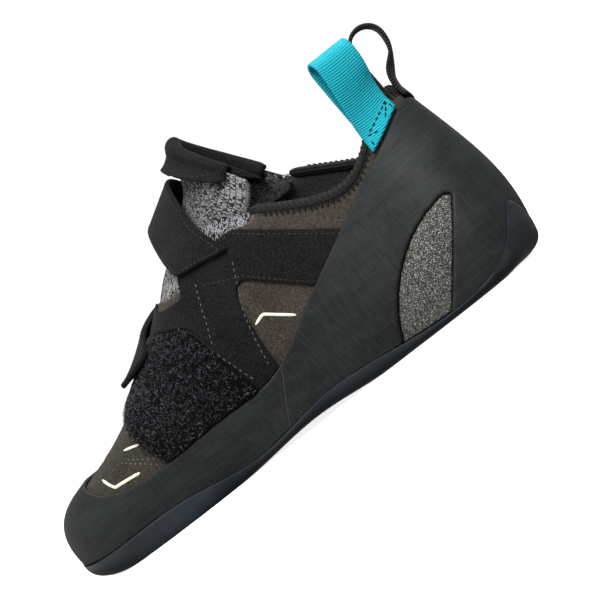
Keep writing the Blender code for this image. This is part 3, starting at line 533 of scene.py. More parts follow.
def outline_distance(places, outline):
    """Distance of (along, height) places to a closed outline, below zero inside, and its nearest point."""
    flat = places.reshape(-1, 2)
    start, end = outline, np.roll(outline, -1, axis=0)
    edge = end - start
    square = np.maximum((edge**2).sum(-1), TINY_SQUARE)
    from_start = flat[:, None, :] - start[None]
    part = np.clip((from_start * edge).sum(-1) / square, 0.0, 1.0)
    gap = from_start - part[..., None] * edge
    far = np.linalg.norm(gap, axis=-1)
    pick = far.argmin(axis=1)
    rows = np.arange(len(flat))
    crosses = (start[None, :, 1] > flat[:, None, 1]) != (end[None, :, 1] > flat[:, None, 1])
    height = np.where(np.abs(edge[:, 1]) < TINY_HEIGHT, TINY_HEIGHT, edge[:, 1])
    reach = start[None, :, 0] + (flat[:, None, 1] - start[None, :, 1]) * (edge[:, 0] / height)[None]
    inside = ((crosses & (flat[:, None, 0] < reach)).sum(1) % 2) == 1
    distance = np.where(inside, -far[rows, pick], far[rows, pick])
    nearest = flat - gap[rows, pick]
    return distance.reshape(places.shape[:-1]), nearest.reshape(places.shape)


def side_view(column, level):
    """(along, height) of the skin at a grid place."""
    return from_side(skin_point(*grid_place(column, level), SIDE_VIEW_OFFSET))


def grid_steps(column, level, want):
    """Grid steps that move places by an (along, height) offset, from the grid's own slopes in side view."""
    view = side_view(column, level)
    by_column = (side_view(column + STEP, level) - view) / STEP
    by_level = (side_view(column, level + STEP) - view) / STEP
    area = by_column[..., 0] * by_level[..., 1] - by_column[..., 1] * by_level[..., 0]
    area = np.where(np.abs(area) < TINY_AREA, TINY_AREA, area)
    column_step = (want[..., 0] * by_level[..., 1] - want[..., 1] * by_level[..., 0]) / area
    level_step = (want[..., 1] * by_column[..., 0] - want[..., 0] * by_column[..., 1]) / area
    return column_step, level_step


def skin_places(views, start):
    """Stations and rises whose side view is given, by repeated steps from a starting grid place."""
    column = np.full(len(views), start[0])
    level = np.full(len(views), start[1])
    for _ in range(SEARCH_STEPS):
        column_step, level_step = grid_steps(column, level, views - side_view(column, level))
        column = column + np.clip(column_step, -COLUMN_REACH, COLUMN_REACH)
        level = np.clip(level + np.clip(level_step, -LEVEL_REACH, LEVEL_REACH), 0.0, 2.0)
    return grid_place(column, level)


def snapped_grid(column, level, outline):
    """Grid whose lines that cross an outline have their nearer end moved onto it, and the distance to it."""
    distance = outline_distance(side_view(column, level), outline)[0]
    chosen = np.zeros(distance.shape, bool)
    every, before, after = slice(None), slice(None, -1), slice(1, None)
    for first, second in (((before, every), (after, every)), ((every, before), (every, after))):
        crossing = distance[first] * distance[second] < 0.0
        nearer = np.abs(distance[first]) <= np.abs(distance[second])
        chosen[first] |= crossing & nearer
        chosen[second] |= crossing & ~nearer
    column, level = column.copy(), level.copy()
    for _ in range(SNAP_STEPS):
        view = side_view(column[chosen], level[chosen])
        nearest = outline_distance(view, outline)[1]
        column_step, level_step = grid_steps(column[chosen], level[chosen], nearest - view)
        column[chosen] += column_step
        level[chosen] += level_step
    distance = outline_distance(side_view(column, level), outline)[0]
    return column, level, np.where(chosen, 0.0, distance)


def grid_quads(rows, columns, wrap_rows=False, wrap_columns=False):
    """Corner numbers of the cells of a grid, counted row by row."""
    row = np.arange(rows if wrap_rows else rows - 1)[:, None]
    column = np.arange(columns if wrap_columns else columns - 1)[None, :]
    above, beside = (row + 1) % rows, (column + 1) % columns
    places = ((row, column), (above, column), (above, beside), (row, beside))
    corners = [at_row * columns + at_column for at_row, at_column in places]
    return np.stack(corners, -1).reshape(-1, 4)


def ring_cap(ring):
    """Quads across a ring of an even number of points, each joining two neighbours to their partners."""
    near = np.arange(len(ring) // 2 - 1)
    return np.stack([ring[near], ring[near + 1], ring[-2 - near], ring[-1 - near]], -1)


def tube_quads(rows, sides, copies=1):
    """Corner numbers of closed tubes: each a grid wrapped round its sides, with both ends capped."""
    first = np.arange(sides)
    last = first[::-1] + (rows - 1) * sides
    one = np.concatenate([grid_quads(rows, sides, wrap_columns=True), ring_cap(first), ring_cap(last)])
    return (one + np.arange(copies)[:, None, None] * rows * sides).reshape(-1, 4)


def tube_rings(middle, side, normal, size, count, start=0.0):
    """Rings of points round a line, each turning from the side direction towards the normal."""
    turns = np.radians(start + np.arange(count) * 360.0 / count)
    rings = [middle + side * size * np.cos(turn) + normal * size * np.sin(turn) for turn in turns]
    return np.stack(rings, -2)


def border_edges(quads):
    """Edges that one quad alone uses, each in the direction its quad runs."""
    edges = np.concatenate([quads[:, [0, 1]], quads[:, [1, 2]], quads[:, [2, 3]], quads[:, [3, 0]]])
    _, first, uses = np.unique(np.sort(edges, axis=1), axis=0, return_index=True, return_counts=True)
    return edges[first[uses == 1]]


# Meshes

def put_piece(name, points, quads, finish, node=None, cloth=None, marks=None, weld=True):
    """Makes a closed mesh piece from points and quads, with cloth coordinates and point values, and seats it.

    The sign of the enclosed volume tells whether the quads face outwards; if not, they are turned.
    A slab's corner point, where its two sheets meet with nothing between them, joins its neighbour.
    """
    points = np.reshape(points, (-1, 3)) + CENTRE_SHIFT
    first, second, third, fourth = np.moveaxis(points[quads], 1, 0)
    volume = (np.cross(first, second) * third + np.cross(first, third) * fourth).sum()
    if volume < 0.0:
        quads = quads[:, ::-1]
    mesh = bpy.data.meshes.new(name)
    mesh.vertices.add(len(points))
    mesh.vertices.foreach_set("co", points.ravel())
    mesh.loops.add(quads.size)
    mesh.loops.foreach_set("vertex_index", quads.ravel().astype(np.int32))
    mesh.polygons.add(len(quads))
    mesh.polygons.foreach_set("loop_start", np.arange(0, quads.size, 4, dtype=np.int32))
    mesh.update(calc_edges=True)
    if cloth is not None:
        layer = mesh.uv_layers.new(name="cloth")
        layer.data.foreach_set("uv", np.reshape(cloth, (-1, 2))[quads.ravel()].ravel())
    for mark, values in (marks or {}).items():
        attribute = mesh.attributes.new(mark, "FLOAT", "POINT")
        attribute.data.foreach_set("value", np.ravel(values).astype(np.float32))
    work = bmesh.new()
    work.from_mesh(mesh)
    if weld:
        bmesh.ops.remove_doubles(work, verts=work.verts, dist=WELD_DISTANCE)
    loose = [vertex for vertex in work.verts if not vertex.link_faces]
    bmesh.ops.delete(work, geom=loose, context="VERTS")
    flaps = [vertex for vertex in work.verts if len(vertex.link_edges) == 2]
    neighbours = [vertex.link_edges[0].other_vert(vertex) for vertex in flaps]
    bmesh.ops.weld_verts(work, targetmap=dict(zip(flaps, neighbours)))
    work.to_mesh(mesh)
    work.free()
    mesh.shade_smooth()
    mesh.materials.append(finish.material)
    piece = bpy.data.objects.new(name, mesh)
    bpy.context.scene.collection.objects.link(piece)
    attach(piece, "root")
    if node:
        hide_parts(node)


def put_slab(name, top, under, finish, node=None, slot=None, keep=None, cloth=None):
    """Piece from two grids and a wall along their borders, which welds away where they meet."""
    rows, columns = top.shape[:2]
    quads = grid_quads(rows, columns)
    if keep is not None:
        quads = quads[keep.ravel()]
    count = rows * columns
    start, end = border_edges(quads).T
    wall = np.stack([end, start, start + count, end + count], -1)
    quads = np.concatenate([quads, quads[:, ::-1] + count, wall])
    if cloth is not None:
        cloth = np.tile(cloth.reshape(-1, 2), (2, 1))
    put_piece(name, np.stack([top, under]), quads, finish, node, cloth)


def skin_slab(name, column, level, thick, round_share, finish, keep=None, swell=0.0, least_rise=0.0, **seat):
    """Closed layer seated on the skin, its thickness scaled by a share that is 0 at the borders."""
    station, rise = grid_place(column, level)
    rise = np.maximum(rise, least_rise)
    half = thick / 2.0
    middle = SEAT_GAP + half
    top = skin_point(station, rise, middle + half * round_share + swell)
    under = skin_point(station, rise, middle - half * round_share)
    put_slab(name, top, under, finish, keep=keep, cloth=from_side(last_point(station, rise)), **seat)


def inside_cells(distance, column, level, outline):
    """Cells of a snapped grid that lie inside the outline."""
    middle = side_view(cell_corners(column).mean(axis=0), cell_corners(level).mean(axis=0))
    middle_inside = outline_distance(middle, outline)[0] < 0.0
    return (cell_corners(distance).max(axis=0) < ON_OUTLINE) & middle_inside


def layer_grid(outline, columns, levels):
    """Snapped grid of a layer, how deep each place lies inside the layer's outline, and the cells to keep."""
    column, level = np.meshgrid(np.linspace(*columns), np.linspace(*levels))
    column, level, distance = snapped_grid(column, level, outline)
    level = np.clip(level, levels[0], 2.0)
    return column, level, np.maximum(-distance, 0.0), inside_cells(distance, column, level, outline)


# Finishes

class Finish:
    """A node material on the Principled shader, with short calls to add and join nodes."""

    def __init__(self, name, colour, roughness):
        self.material = bpy.data.materials.new(name)
        self.material.use_nodes = True
        self.tree = self.material.node_tree
        self.shader = self.tree.nodes["Principled BSDF"]
        self.set("Base Color", (*colour, 1.0))
        self.set("Roughness", roughness)
        self.bumps = None

    def set(self, socket, value):
        """Even value on one of the shader's own sockets."""
        self.shader.inputs[socket].default_value = value

    def node(self, kind, inputs=None, **settings):
        """New node with its settings, and its inputs joined or set."""
        made = self.tree.nodes.new(kind)
        for name, value in settings.items():
            setattr(made, name, value)
        for name, value in (inputs or {}).items():
            if isinstance(value, bpy.types.NodeSocket):
                self.tree.links.new(value, made.inputs[name])
            else:
                made.inputs[name].default_value = value
        return made

    def place(self, source="Object", scale=(1.0, 1.0, 1.0), turn=(0.0, 0.0, 0.0)):
        """Coordinates of the piece, or of its cloth, scaled and turned."""
        if source == "Object":
            socket = self.node("ShaderNodeTexCoord").outputs["Object"]
        else:
            socket = self.node("ShaderNodeUVMap", uv_map=source).outputs["UV"]
        inputs = {"Vector": socket, "Scale": scale, "Rotation": np.radians(turn).tolist()}
        return self.node("ShaderNodeMapping", inputs).outputs["Vector"]

    def noise(self, place, scale, detail, roughness):
        """Cloudy noise, scale in features per metre."""
        inputs = {"Vector": place, "Scale": scale, "Detail": detail, "Roughness": roughness}
        return self.node("ShaderNodeTexNoise", inputs).outputs["Fac"]

    def maths(self, operation, first, second=0.0, third=0.0):
        """Sum on values."""
        return self.node("ShaderNodeMath", {0: first, 1: second, 2: third}, operation=operation).outputs[0]

    def span(self, value, low, high, out_low=0.0, out_high=1.0):
        """Value stretched from one range to another and held inside it."""
        inputs = {"Value": value, "From Min": low, "From Max": high, "To Min": out_low, "To Max": out_high}
        return self.node("ShaderNodeMapRange", inputs, clamp=True).outputs["Result"]

    def blend(self, share, first, second):
        """Mix of two colours."""
        first, second = (
            colour if isinstance(colour, bpy.types.NodeSocket) else (*colour, 1.0)
            for colour in (first, second)
        )
        return self.node("ShaderNodeMix", {0: share, 6: first, 7: second}, data_type="RGBA").outputs[2]

    def colour(self):
        """Colour that the shader has so far."""
        return self.shader.inputs["Base Color"].links[0].from_socket

    def value(self, name):
        """Point value of the mesh."""
        return self.node("ShaderNodeAttribute", attribute_name=name).outputs["Fac"]

    def paint(self, colour):
        """Gives the shader its colour."""
        self.tree.links.new(colour, self.shader.inputs["Base Color"])

    def gloss(self, roughness):
        """Gives the shader its roughness."""
        self.tree.links.new(roughness, self.shader.inputs["Roughness"])

    def bump(self, height, distance, strength):
        """Adds a relief of the given depth in metres on top of those before it."""
        inputs = {"Height": height, "Distance": distance, "Strength": strength}
        if self.bumps is not None:
            inputs["Normal"] = self.bumps
        self.bumps = self.node("ShaderNodeBump", inputs).outputs["Normal"]
        self.tree.links.new(self.bumps, self.shader.inputs["Normal"])

    def split(self, place):
        """First two coordinates of a place."""
        made = self.node("ShaderNodeSeparateXYZ", {"Vector": place})
        return made.outputs["X"], made.outputs["Y"]


def rubber_finish(name, dark, light, roughness, specular, streak_turn, streak_share):
    """Buffed rubber: cloudy tone and smears, fine scratches that run two ways, and a dusty roughness."""
    made = Finish(name, dark, roughness)
    cloud = made.noise(made.place(), 28.0, 3.0, 0.6)
    lengthwise = made.noise(made.place(scale=(90.0, 90.0, 1500.0), turn=streak_turn), 1.0, 4.0, 0.65)
    upright = made.noise(made.place(scale=(1300.0, 1300.0, 70.0), turn=streak_turn), 1.0, 3.0, 0.65)
    where = made.span(made.noise(made.place(), 17.0, 2.0, 0.5), 0.42, 0.58)
    streaks = made.maths("MULTIPLY_ADD", where, made.maths("SUBTRACT", upright, lengthwise), lengthwise)
    fine = made.noise(made.place(), 2600.0, 2.0, 0.6)
    smear = made.noise(made.place(scale=(34.0, 34.0, 150.0), turn=streak_turn), 1.0, 3.0, 0.6)
    broad = made.span(cloud, 0.3, 0.7, 0.0, 0.45)
    tone = made.maths("MULTIPLY_ADD", made.span(smear, 0.39, 0.61), 0.55, broad)
    scratch = made.span(streaks, 0.42, 0.66)
    share = made.maths("ADD", made.maths("MULTIPLY", tone, 1.0 - streak_share),
                       made.maths("MULTIPLY", scratch, streak_share))
    speck = made.maths("MULTIPLY_ADD", made.span(fine, 0.35, 0.75), 0.25, share)
    made.paint(made.blend(made.maths("MINIMUM", speck, 1.0), dark, light))
    made.gloss(made.span(cloud, 0.3, 0.7, roughness - 0.07, roughness + 0.09))
    made.set("Specular IOR Level", specular)
    made.bump(streaks, 0.00016, 0.35)
    made.bump(fine, 0.00008, 0.35)
    return made


def sole_finish():
    """Blue-black sole rubber with faint warm scuffs in drawn-out patches."""
    made = rubber_finish(
        "sole_rubber", (0.005, 0.0080, 0.011), (0.021, 0.028, 0.036), 0.44, 0.30, (0.0, 0.0, 0.0), 0.2)
    patch = made.noise(made.place(scale=(20.0, 42.0, 60.0)), 1.0, 4.0, 0.62)
    made.paint(made.blend(made.span(patch, 0.50, 0.72, 0.0, 0.55), made.colour(), (0.038, 0.034, 0.031)))
    return made


def suede_finish(name, dark, light, fleck, roughness, fleck_share, grain_scale):
    """Napped suede: cloudy pile direction, short grain and pale hair tips, with a soft sheen."""
    made = Finish(name, dark, roughness)
    place = made.place()
    cloud = made.noise(place, 70.0, 3.0, 0.6)
    grain = made.noise(place, grain_scale, 3.0, 0.7)
    tips = made.noise(place, 3300.0, 2.0, 0.6)
    share = made.maths("MULTIPLY_ADD", made.span(cloud, 0.3, 0.7), 0.30,
                       made.span(grain, 0.36, 0.64, 0.0, 0.70))
    base = made.blend(share, dark, light)
    made.paint(made.blend(made.span(tips, 0.60, 0.74, 0.0, fleck_share), base, fleck))
    made.set("Sheen Weight", 0.03)
    made.set("Sheen Roughness", 0.5)
    made.set("Specular IOR Level", 0.12)
    made.bump(grain, 0.00040, 0.8)
    made.bump(tips, 0.00012, 0.5)
    return made


def upper_finish():
    """Brown suede outside, knit beside the tongue and a dark lining inside, told apart by point values."""
    made = suede_finish(
        "brown_suede", (0.0145, 0.0122, 0.0099), (0.073, 0.0612, 0.0505), (0.19, 0.167, 0.143),
        0.92, 0.60, 1000.0)
    weave = made.noise(made.place(), 1800.0, 2.0, 0.5)
    lining = made.blend(made.span(weave, 0.4, 0.6), (0.030, 0.030, 0.032), (0.075, 0.074, 0.074))
    leather = made.blend(made.value("inside"), made.colour(), lining)
    made.paint(made.blend(made.value("knit"), leather, knit_pattern(made)[0]))
    return made


def knit_pattern(made):
    """Colour and relief of the knit: columns of V stitches, each stitch pale or dark by chance, with painted
    shade in the gaps between stitches.
    """
    across, along = made.split(made.place("cloth"))
    column = made.maths("DIVIDE", across, KNIT_WALE)
    inside = made.maths("ABSOLUTE", made.maths("SUBTRACT", made.maths("FRACT", column), 0.5))
    row = made.maths("ADD", made.maths("DIVIDE", along, KNIT_COURSE), made.maths("MULTIPLY", inside, 1.3))
    cell = made.node("ShaderNodeCombineXYZ", {
        "X": made.maths("FLOOR", made.maths("MULTIPLY", column, 2.0)), "Y": made.maths("FLOOR", row),
    }).outputs["Vector"]
    chance = made.node("ShaderNodeTexWhiteNoise", {"Vector": cell}, noise_dimensions="2D").outputs["Value"]
    patch = made.noise(made.place(), 240.0, 2.0, 0.6)
    light = made.span(made.maths("MULTIPLY_ADD", patch, 0.5, chance), 0.62, 0.80)
    yarn = made.blend(light, (0.012, 0.012, 0.013), (0.40, 0.395, 0.41))
    # Painted shade: where the stitch relief is low, between rows and down the middle of each column, the
    # colour turns near black.
    gap = made.maths("ABSOLUTE", made.maths("SUBTRACT", made.maths("FRACT", row), 0.5))
    depth = made.maths("MULTIPLY", made.span(gap, 0.50, 0.22), made.span(inside, 0.0, 0.14))
    return made.blend(depth, (0.010, 0.010, 0.012), yarn), depth


def knit_finish(name):
    """Stretch knit with its stitches in relief."""
    made = Finish(name, (0.2, 0.2, 0.2), 0.95)
    yarn, depth = knit_pattern(made)
    made.paint(yarn)
    made.set("Sheen Weight", 0.1)
    made.set("Specular IOR Level", 0.2)
    made.bump(depth, 0.00045, 0.9)
    return made


def heather_finish(name):
    """Grey fabric with pale flecks along a slanted weave."""
    made = Finish(name, (0.14, 0.14, 0.135), 0.92)
    threads = made.noise(made.place(scale=(1350.0, 1350.0, 2600.0), turn=(0.0, 38.0, 0.0)), 1.0, 3.0, 0.7)
    flecks = made.noise(made.place(), 2300.0, 2.0, 0.6)
    cloud = made.noise(made.place(), 90.0, 2.0, 0.5)
    weave = made.span(threads, 0.40, 0.62, 0.0, 0.8)
    share = made.maths("MULTIPLY_ADD", made.span(cloud, 0.3, 0.7), 0.2, weave)
    base = made.blend(share, (0.005, 0.005, 0.004), (0.115, 0.115, 0.105))
    made.paint(made.blend(made.span(flecks, 0.55, 0.66), base, (0.50, 0.50, 0.465)))
    made.set("Specular IOR Level", 0.2)
    made.bump(threads, 0.00035, 0.7)
    made.bump(flecks, 0.00020, 0.5)
    return made


def webbing_finish(name, dark, light, rib, slant):
    """Woven webbing: ribs across (or slanted), split by the lengthwise threads, with painted shade darkening
    the grooves between ribs and threads.
    """
    made = Finish(name, light, 0.62)
    across, along = made.split(made.place("cloth"))
    row = made.maths("MULTIPLY_ADD", across, slant, along)
    wave = made.maths("SINE", made.maths("MULTIPLY", row, 2 * np.pi / rib))
    thread = made.maths("SINE", made.maths("MULTIPLY", across, 2 * np.pi / WEBBING_THREAD))
    ridge = made.maths("MULTIPLY_ADD", thread, 0.35, wave)
    wear = made.noise(made.place(), 130.0, 3.0, 0.6)
    # Painted shade: the colour follows the rib relief, darker in the grooves between ribs and threads; the
    # wear noise only varies the tone at random.
    share = made.maths("MULTIPLY", made.span(ridge, -1.0, 0.9), made.span(wear, 0.25, 0.7, 0.8, 1.0))
    made.paint(made.blend(share, dark, light))
    made.set("Sheen Weight", 0.04)
    made.set("Specular IOR Level", 0.18)
    made.bump(ridge, 0.00018, 0.6)
    return made


def pile_finish(name, dark, light):
    """Fibre pile: colour that follows the tuft relief, with painted shade in the hollows and a painted
    highlight on the blue-grey tips.
    """
    made = Finish(name, dark, 0.95)
    tufts = made.noise(made.place(), 950.0, 3.0, 0.75)
    # Painted shade and highlight: dark where the tuft relief is low, paler blue-grey where it is high.
    made.paint(made.blend(made.span(tufts, 0.42, 0.75), dark, light))
    made.set("Specular IOR Level", 0.1)
    made.bump(tufts, 0.0008, 0.9)
    return made


def fibre_finish(name, dark, light):
    """Single fibres, each dark or pale by its own point value, with a little gloss; the few pale fibres are
    painted glints of the pile's loops.
    """
    made = Finish(name, light, 0.5)
    made.paint(made.blend(made.value("tone"), dark, light))
    made.set("Specular IOR Level", 0.2)
    return made


def plain_finish(name, dark, light, roughness, grain):
    """Even finish with a little grain, for thread, print and footbed cloth."""
    made = Finish(name, light, roughness)
    specks = made.noise(made.place(), grain, 2.0, 0.6)
    made.paint(made.blend(made.span(specks, 0.3, 0.65), dark, light))
    made.set("Specular IOR Level", 0.2)
    made.bump(specks, 0.00008, 0.4)
    return made


# Pieces of the shoe

def crease_depth(points):
    """Sum of soft troughs: each a bell across its line, with a low ridge beside it and faded ends."""
    depth = np.zeros(points.shape[:-1])
    for start, end, deep, width in CREASE_ROWS:
        line = last_point(*np.linspace(start, end, CREASE_POINTS).T)
        gap = np.linalg.norm(points[..., None, :] - line, axis=-1)
        part = gap.argmin(axis=-1) / (CREASE_POINTS - 1)
        across = gap.min(axis=-1) / width
        fade = np.sin(np.pi * np.clip(part, 0.04, 0.96)) ** 0.6
        ridge = CREASE_RIDGE * np.exp(-((across - CREASE_RIDGE_PLACE) ** 2))
        depth += deep * fade * (np.exp(-across**2) - ridge)
    return depth


def knit_share(station, rise):
    """1 where the skin lies above an edge of the suede beside the tongue, with a narrow soft step."""
    share = np.zeros(np.broadcast(station, rise).shape)
    for edge in KNIT_EDGES:
        stations, rises = np.array(edge).T
        limit = np.interp(station, stations, rises, left=2.0, right=2.0)
        share = np.maximum(share, ease(rise, limit - KNIT_SOFTNESS, limit + KNIT_SOFTNESS))
    return share


def make_upper(finish):
    """Shell from the foot up the outside, round the collar edge and down the inside, along all stations."""
    columns = ring_columns(UPPER_STEPS)
    outside = np.concatenate([np.linspace(0.0, 1.0, 9)[:-1], np.linspace(1.0, 2.0, 46)])
    column, level = np.meshgrid(columns, outside)
    station, rise = grid_place(column, level)
    knit = knit_share(station, rise)
    drop = crease_depth(last_point(station, rise)) * ease(level, 1.02, 1.15) + KNIT_STEP * knit
    skin = skin_point(station, rise, -drop)
    turns = np.radians([45.0, 90.0, 135.0])[:, None]
    turn_station, turn_rise = grid_place(columns[None, :], np.full_like(turns, 2.0))
    outward = last_normal(turn_station, turn_rise)
    edge = last_point(turn_station, turn_rise)
    upward = unit(edge - last_point(turn_station, turn_rise - STEP))
    inset = UPPER_WALL / 2 * (np.cos(turns) - 1.0)[..., None]
    rim = edge + outward * inset + upward * UPPER_RIM_CROWN * np.sin(turns)[..., None]
    inner_station, inner_rise = grid_place(columns[None, :], np.linspace(2.0, 0.0, LINING_ROWS)[:, None])
    lining = skin_point(inner_station, inner_rise, -UPPER_WALL)
    points = np.concatenate([skin, rim, lining])
    inside = np.concatenate([np.zeros(len(outside)), np.full(len(turns), 0.5), np.ones(LINING_ROWS)])
    inside = np.repeat(inside[:, None], len(columns), axis=1)
    knit = np.concatenate([knit, knit_share(turn_station, turn_rise), np.zeros((LINING_ROWS, len(columns)))])
    run = np.cumsum(np.linalg.norm(points - np.roll(points, 1, axis=1), axis=-1).mean(axis=0))
    height = np.cumsum(np.linalg.norm(np.diff(points, axis=0, prepend=points[:1]), axis=-1), axis=0)
    cloth = np.stack(np.broadcast_arrays(run[None, :], height), -1)
    quads = grid_quads(len(points), len(columns), wrap_rows=True, wrap_columns=True)
    put_piece("upper_shell", points, quads, finish, "upper", cloth=cloth,
              marks={"inside": inside, "knit": knit}, weld=False)


def window_outline():
    """Outline of the heel window: front edge, rounded top and back edge, each a cubic curve."""
    top = bezier(WINDOW_TOP_EDGE, 10)[1:-1]
    return np.concatenate([bezier(WINDOW_FRONT_EDGE, 40), top, bezier(WINDOW_BACK_EDGE, 40)])


def rand_border(column, level, start, end):
    """Edge share of a rand: rounded along its top edge and at both seams."""
    top_gap = (1.0 - level) * last_column("rand", column) * RAND_RISE_RUN
    seam_gap = np.minimum(column - start, end - column) * RAND_STATION_RUN
    return np.minimum(rounding(top_gap, RAND_ROUNDING), rounding(seam_gap, SEAM_ROUNDING))


def make_rands(finish):
    """Two bands on the skin between the seams; the heel one is open where the window lies."""
    window = window_outline()
    for node, start, end, count, rows in (
        ("toe_rand", SEAM_STATION, STATIONS - SEAM_STATION, 330, 44),
        ("heel_rand", -SEAM_STATION, SEAM_STATION, 300, 74),
    ):
        low_column, high_column = start + SEAM_HALF_GAP, end - SEAM_HALF_GAP
        columns = low_column + (high_column - low_column) * np.linspace(0.0, 1.0, count)
        columns = np.sort(np.concatenate([
            columns, low_column + SEAM_CLOSE_COLUMNS, high_column - SEAM_CLOSE_COLUMNS]))
        levels = np.concatenate([np.linspace(0.0, RAND_EVEN_TOP, rows), RAND_EDGE_LEVELS])
        column, level = np.meshgrid(columns, levels)
        keep = None
        edge = rand_border(column, level, low_column, high_column)
        if node == "heel_rand":
            column, level, distance = snapped_grid(column, level, window)
            level = np.clip(level, 0.0, 1.0)
            keep = ~inside_cells(distance, column, level, window)
            outer_side = np.mod(column, STATIONS) < 4.0
            keep |= ~(outer_side[:-1, :-1] & outer_side[1:, 1:])
            lip = rounding(np.maximum(distance, 0.0), LAYER_ROUNDING)
            edge = np.where(outer_side, np.minimum(edge, lip), edge)
        skin_slab(node + "_band", column, level, RAND_THICK, edge, finish, keep,
                  least_rise=RAND_FOOT_RISE, node=node, slot="rand_rubber")


def make_window(finish):
    """Fabric panel inside the window outline, lying on the upper."""
    window = window_outline()
    middle = window.mean(axis=0)
    outline = window + unit(middle - window) * WINDOW_GAP
    column, level, depth, keep = layer_grid(outline, *WINDOW_GRID)
    share = rounding(depth, CLOTH_ROUNDING)
    swell = WINDOW_SWELL * ease(depth, 0.0, WINDOW_SWELL_RUN)
    skin_slab("heel_window_cloth", column, level, FABRIC_THICK, share, finish, keep, swell, RAND_FOOT_RISE,
              node="heel_window", slot="window_fabric")


def floor_level(point):
    """Height of the sole's underside: flat at heel and ball, with arch and toe spring."""
    along = (LENGTH / 2 - point[..., 0]) / LENGTH
    across = point[..., 1] / BALL_WIDTH
    spring = TOE_SPRING * np.clip((along - SPRING_START) / (1.0 - SPRING_START), 0.0, None) ** 2
    span = np.clip((along - ARCH_START) / (ARCH_END - ARCH_START), 0.0, 1.0)
    inner_share = np.clip(across + 0.5, 0.0, 1.0)
    arch_height = ARCH_RISE * np.sin(np.pi * span) ** 2
    return spring + arch_height * (ARCH_OUTER_SHARE + (1.0 - ARCH_OUTER_SHARE) * inner_share)


def foot_ring(columns, outward):
    """Plan ring at the foot of the last, moved level by a distance outwards."""
    station = grid_place(columns, 0.0)[0]
    ring = last_point(station, np.zeros_like(station))
    return ring - plan_inward("foot", station) * np.broadcast_to(outward, station.shape)[:, None]


def plate(ring, shares):
    """Rows that close a ring: each point runs to the middle of the line to its partner across the shoe."""
    partner = np.roll(ring[::-1], 1, axis=0)
    middle = (ring + partner) / 2.0
    return ring + (middle - ring) * shares[:, None, None]


def make_outsole(finish):
    """Sole as a stack of rings: seat, lip up the side and heel, domed side as a cubic curve, underside."""
    columns = ring_columns(SOLE_STEPS)
    station = grid_place(columns, 0.0)[0]
    from_heel = np.minimum(station, STATIONS - station)
    lip = SOLE_LIP_LEAST + HEEL_WRAP_HEIGHT * np.exp(-((from_heel / HEEL_WRAP_SPREAD) ** HEEL_WRAP_POWER))
    inner_offset = RAND_THICK + 2 * SEAT_GAP
    outer_offset = inner_offset + SOLE_LIP_THICK
    seat = foot_ring(columns, -UPPER_WALL - SEAT_GAP)
    seat[:, 2] -= SEAT_GAP
    seat_rim = foot_ring(columns, inner_offset)
    seat_rim[:, 2] -= SEAT_GAP
    rows = [plate(seat, np.linspace(1.0, 0.0, 5)), seat_rim[None]]
    rows.append(skin_point(station, lip, inner_offset)[None])
    turn_rise = np.minimum(lip, DOME_RISE)
    wrap_share = (lip - SOLE_LIP_LEAST) / HEEL_WRAP_HEIGHT
    fullest = SOLE_LIP_THICK + SOLE_PROUD
    shares = np.linspace(0.0, 1.0, 10)[:, None]
    thickness = SOLE_THIN_EDGE + (fullest - SOLE_THIN_EDGE) * wrap_share * ease(shares, 0.0, 1.0)
    rows.append(skin_point(station, lip + (turn_rise - lip) * shares, inner_offset + thickness))
    top = rows[-1][-1]
    outer_turn = skin_point(station, turn_rise, outer_offset)
    fall = unit(skin_point(station, turn_rise - STEP, outer_offset) - outer_turn)
    foot = foot_ring(columns, outer_offset + SOLE_PROUD - periodic_cubic(SOLE_EDGE_IN, station))
    foot[:, 2] = floor_level(foot)
    inward = plan_inward("foot", station)
    height = (top - foot)[:, 2:]
    depth = ((foot - top) * inward).sum(axis=-1, keepdims=True)
    swell = (fullest - thickness[-1])[:, None] * SOLE_EDGE_SWELL
    first = top + fall * height * DOME_FULLNESS - inward * swell
    second = foot - inward * depth * DOME_FULLNESS
    rows.append(cubic(np.linspace(0.0, 1.0, 26)[1:, None, None], top, first, second, foot))
    underside = plate(foot, np.linspace(0.0, 1.0, 14)[1:])
    underside[..., 2] = floor_level(underside)
    points = np.concatenate(rows + [underside])
    quads = grid_quads(len(points), len(columns), wrap_columns=True)
    put_piece("outsole_rubber", points, quads, finish, "outsole")


def make_insole(finish):
    """Footbed with a soft rim: plate, rim and underside as rings."""
    columns = ring_columns(INSOLE_STEPS)
    under = foot_ring(columns, -UPPER_WALL - 2 * SEAT_GAP)
    rows = [plate(under, np.linspace(1.0, 0.0, 8))]
    for turn in np.radians(np.linspace(0.0, 90.0, 6))[1:]:
        ring = foot_ring(columns, -UPPER_WALL - 2 * SEAT_GAP - INSOLE_RIM * (1.0 - np.cos(turn)))
        ring[:, 2] += INSOLE_THICK * np.sin(turn)
        rows.append(ring[None])
    rows.append(plate(rows[-1][0], np.linspace(0.0, 1.0, 16)[1:]))
    points = np.concatenate(rows)
    quads = grid_quads(len(points), len(columns), wrap_columns=True)
    put_piece("insole_footbed", points, quads, finish, "insole")


def tongue_column(name, part):
    """Tongue table read along the tongue, part 0 at the toe end and 1 at the top, by cubic pieces."""
    place = TONGUE_COLUMNS.index(name)
    values = np.array([row[place] for row in TONGUE_ROWS])
    slopes = np.gradient(values)
    spot = np.clip(part, 0.0, 1.0) * (len(values) - 1)
    low = np.minimum(spot.astype(int), len(values) - 2)
    return cubic_piece(spot - low, values[low], values[low + 1], slopes[low], slopes[low + 1])


def arch(start, crown, end, share):
    """Curve from start to end that passes through the crown half way."""
    return parabola(share[..., None], start, 2.0 * crown - (start + end) / 2.0, end)


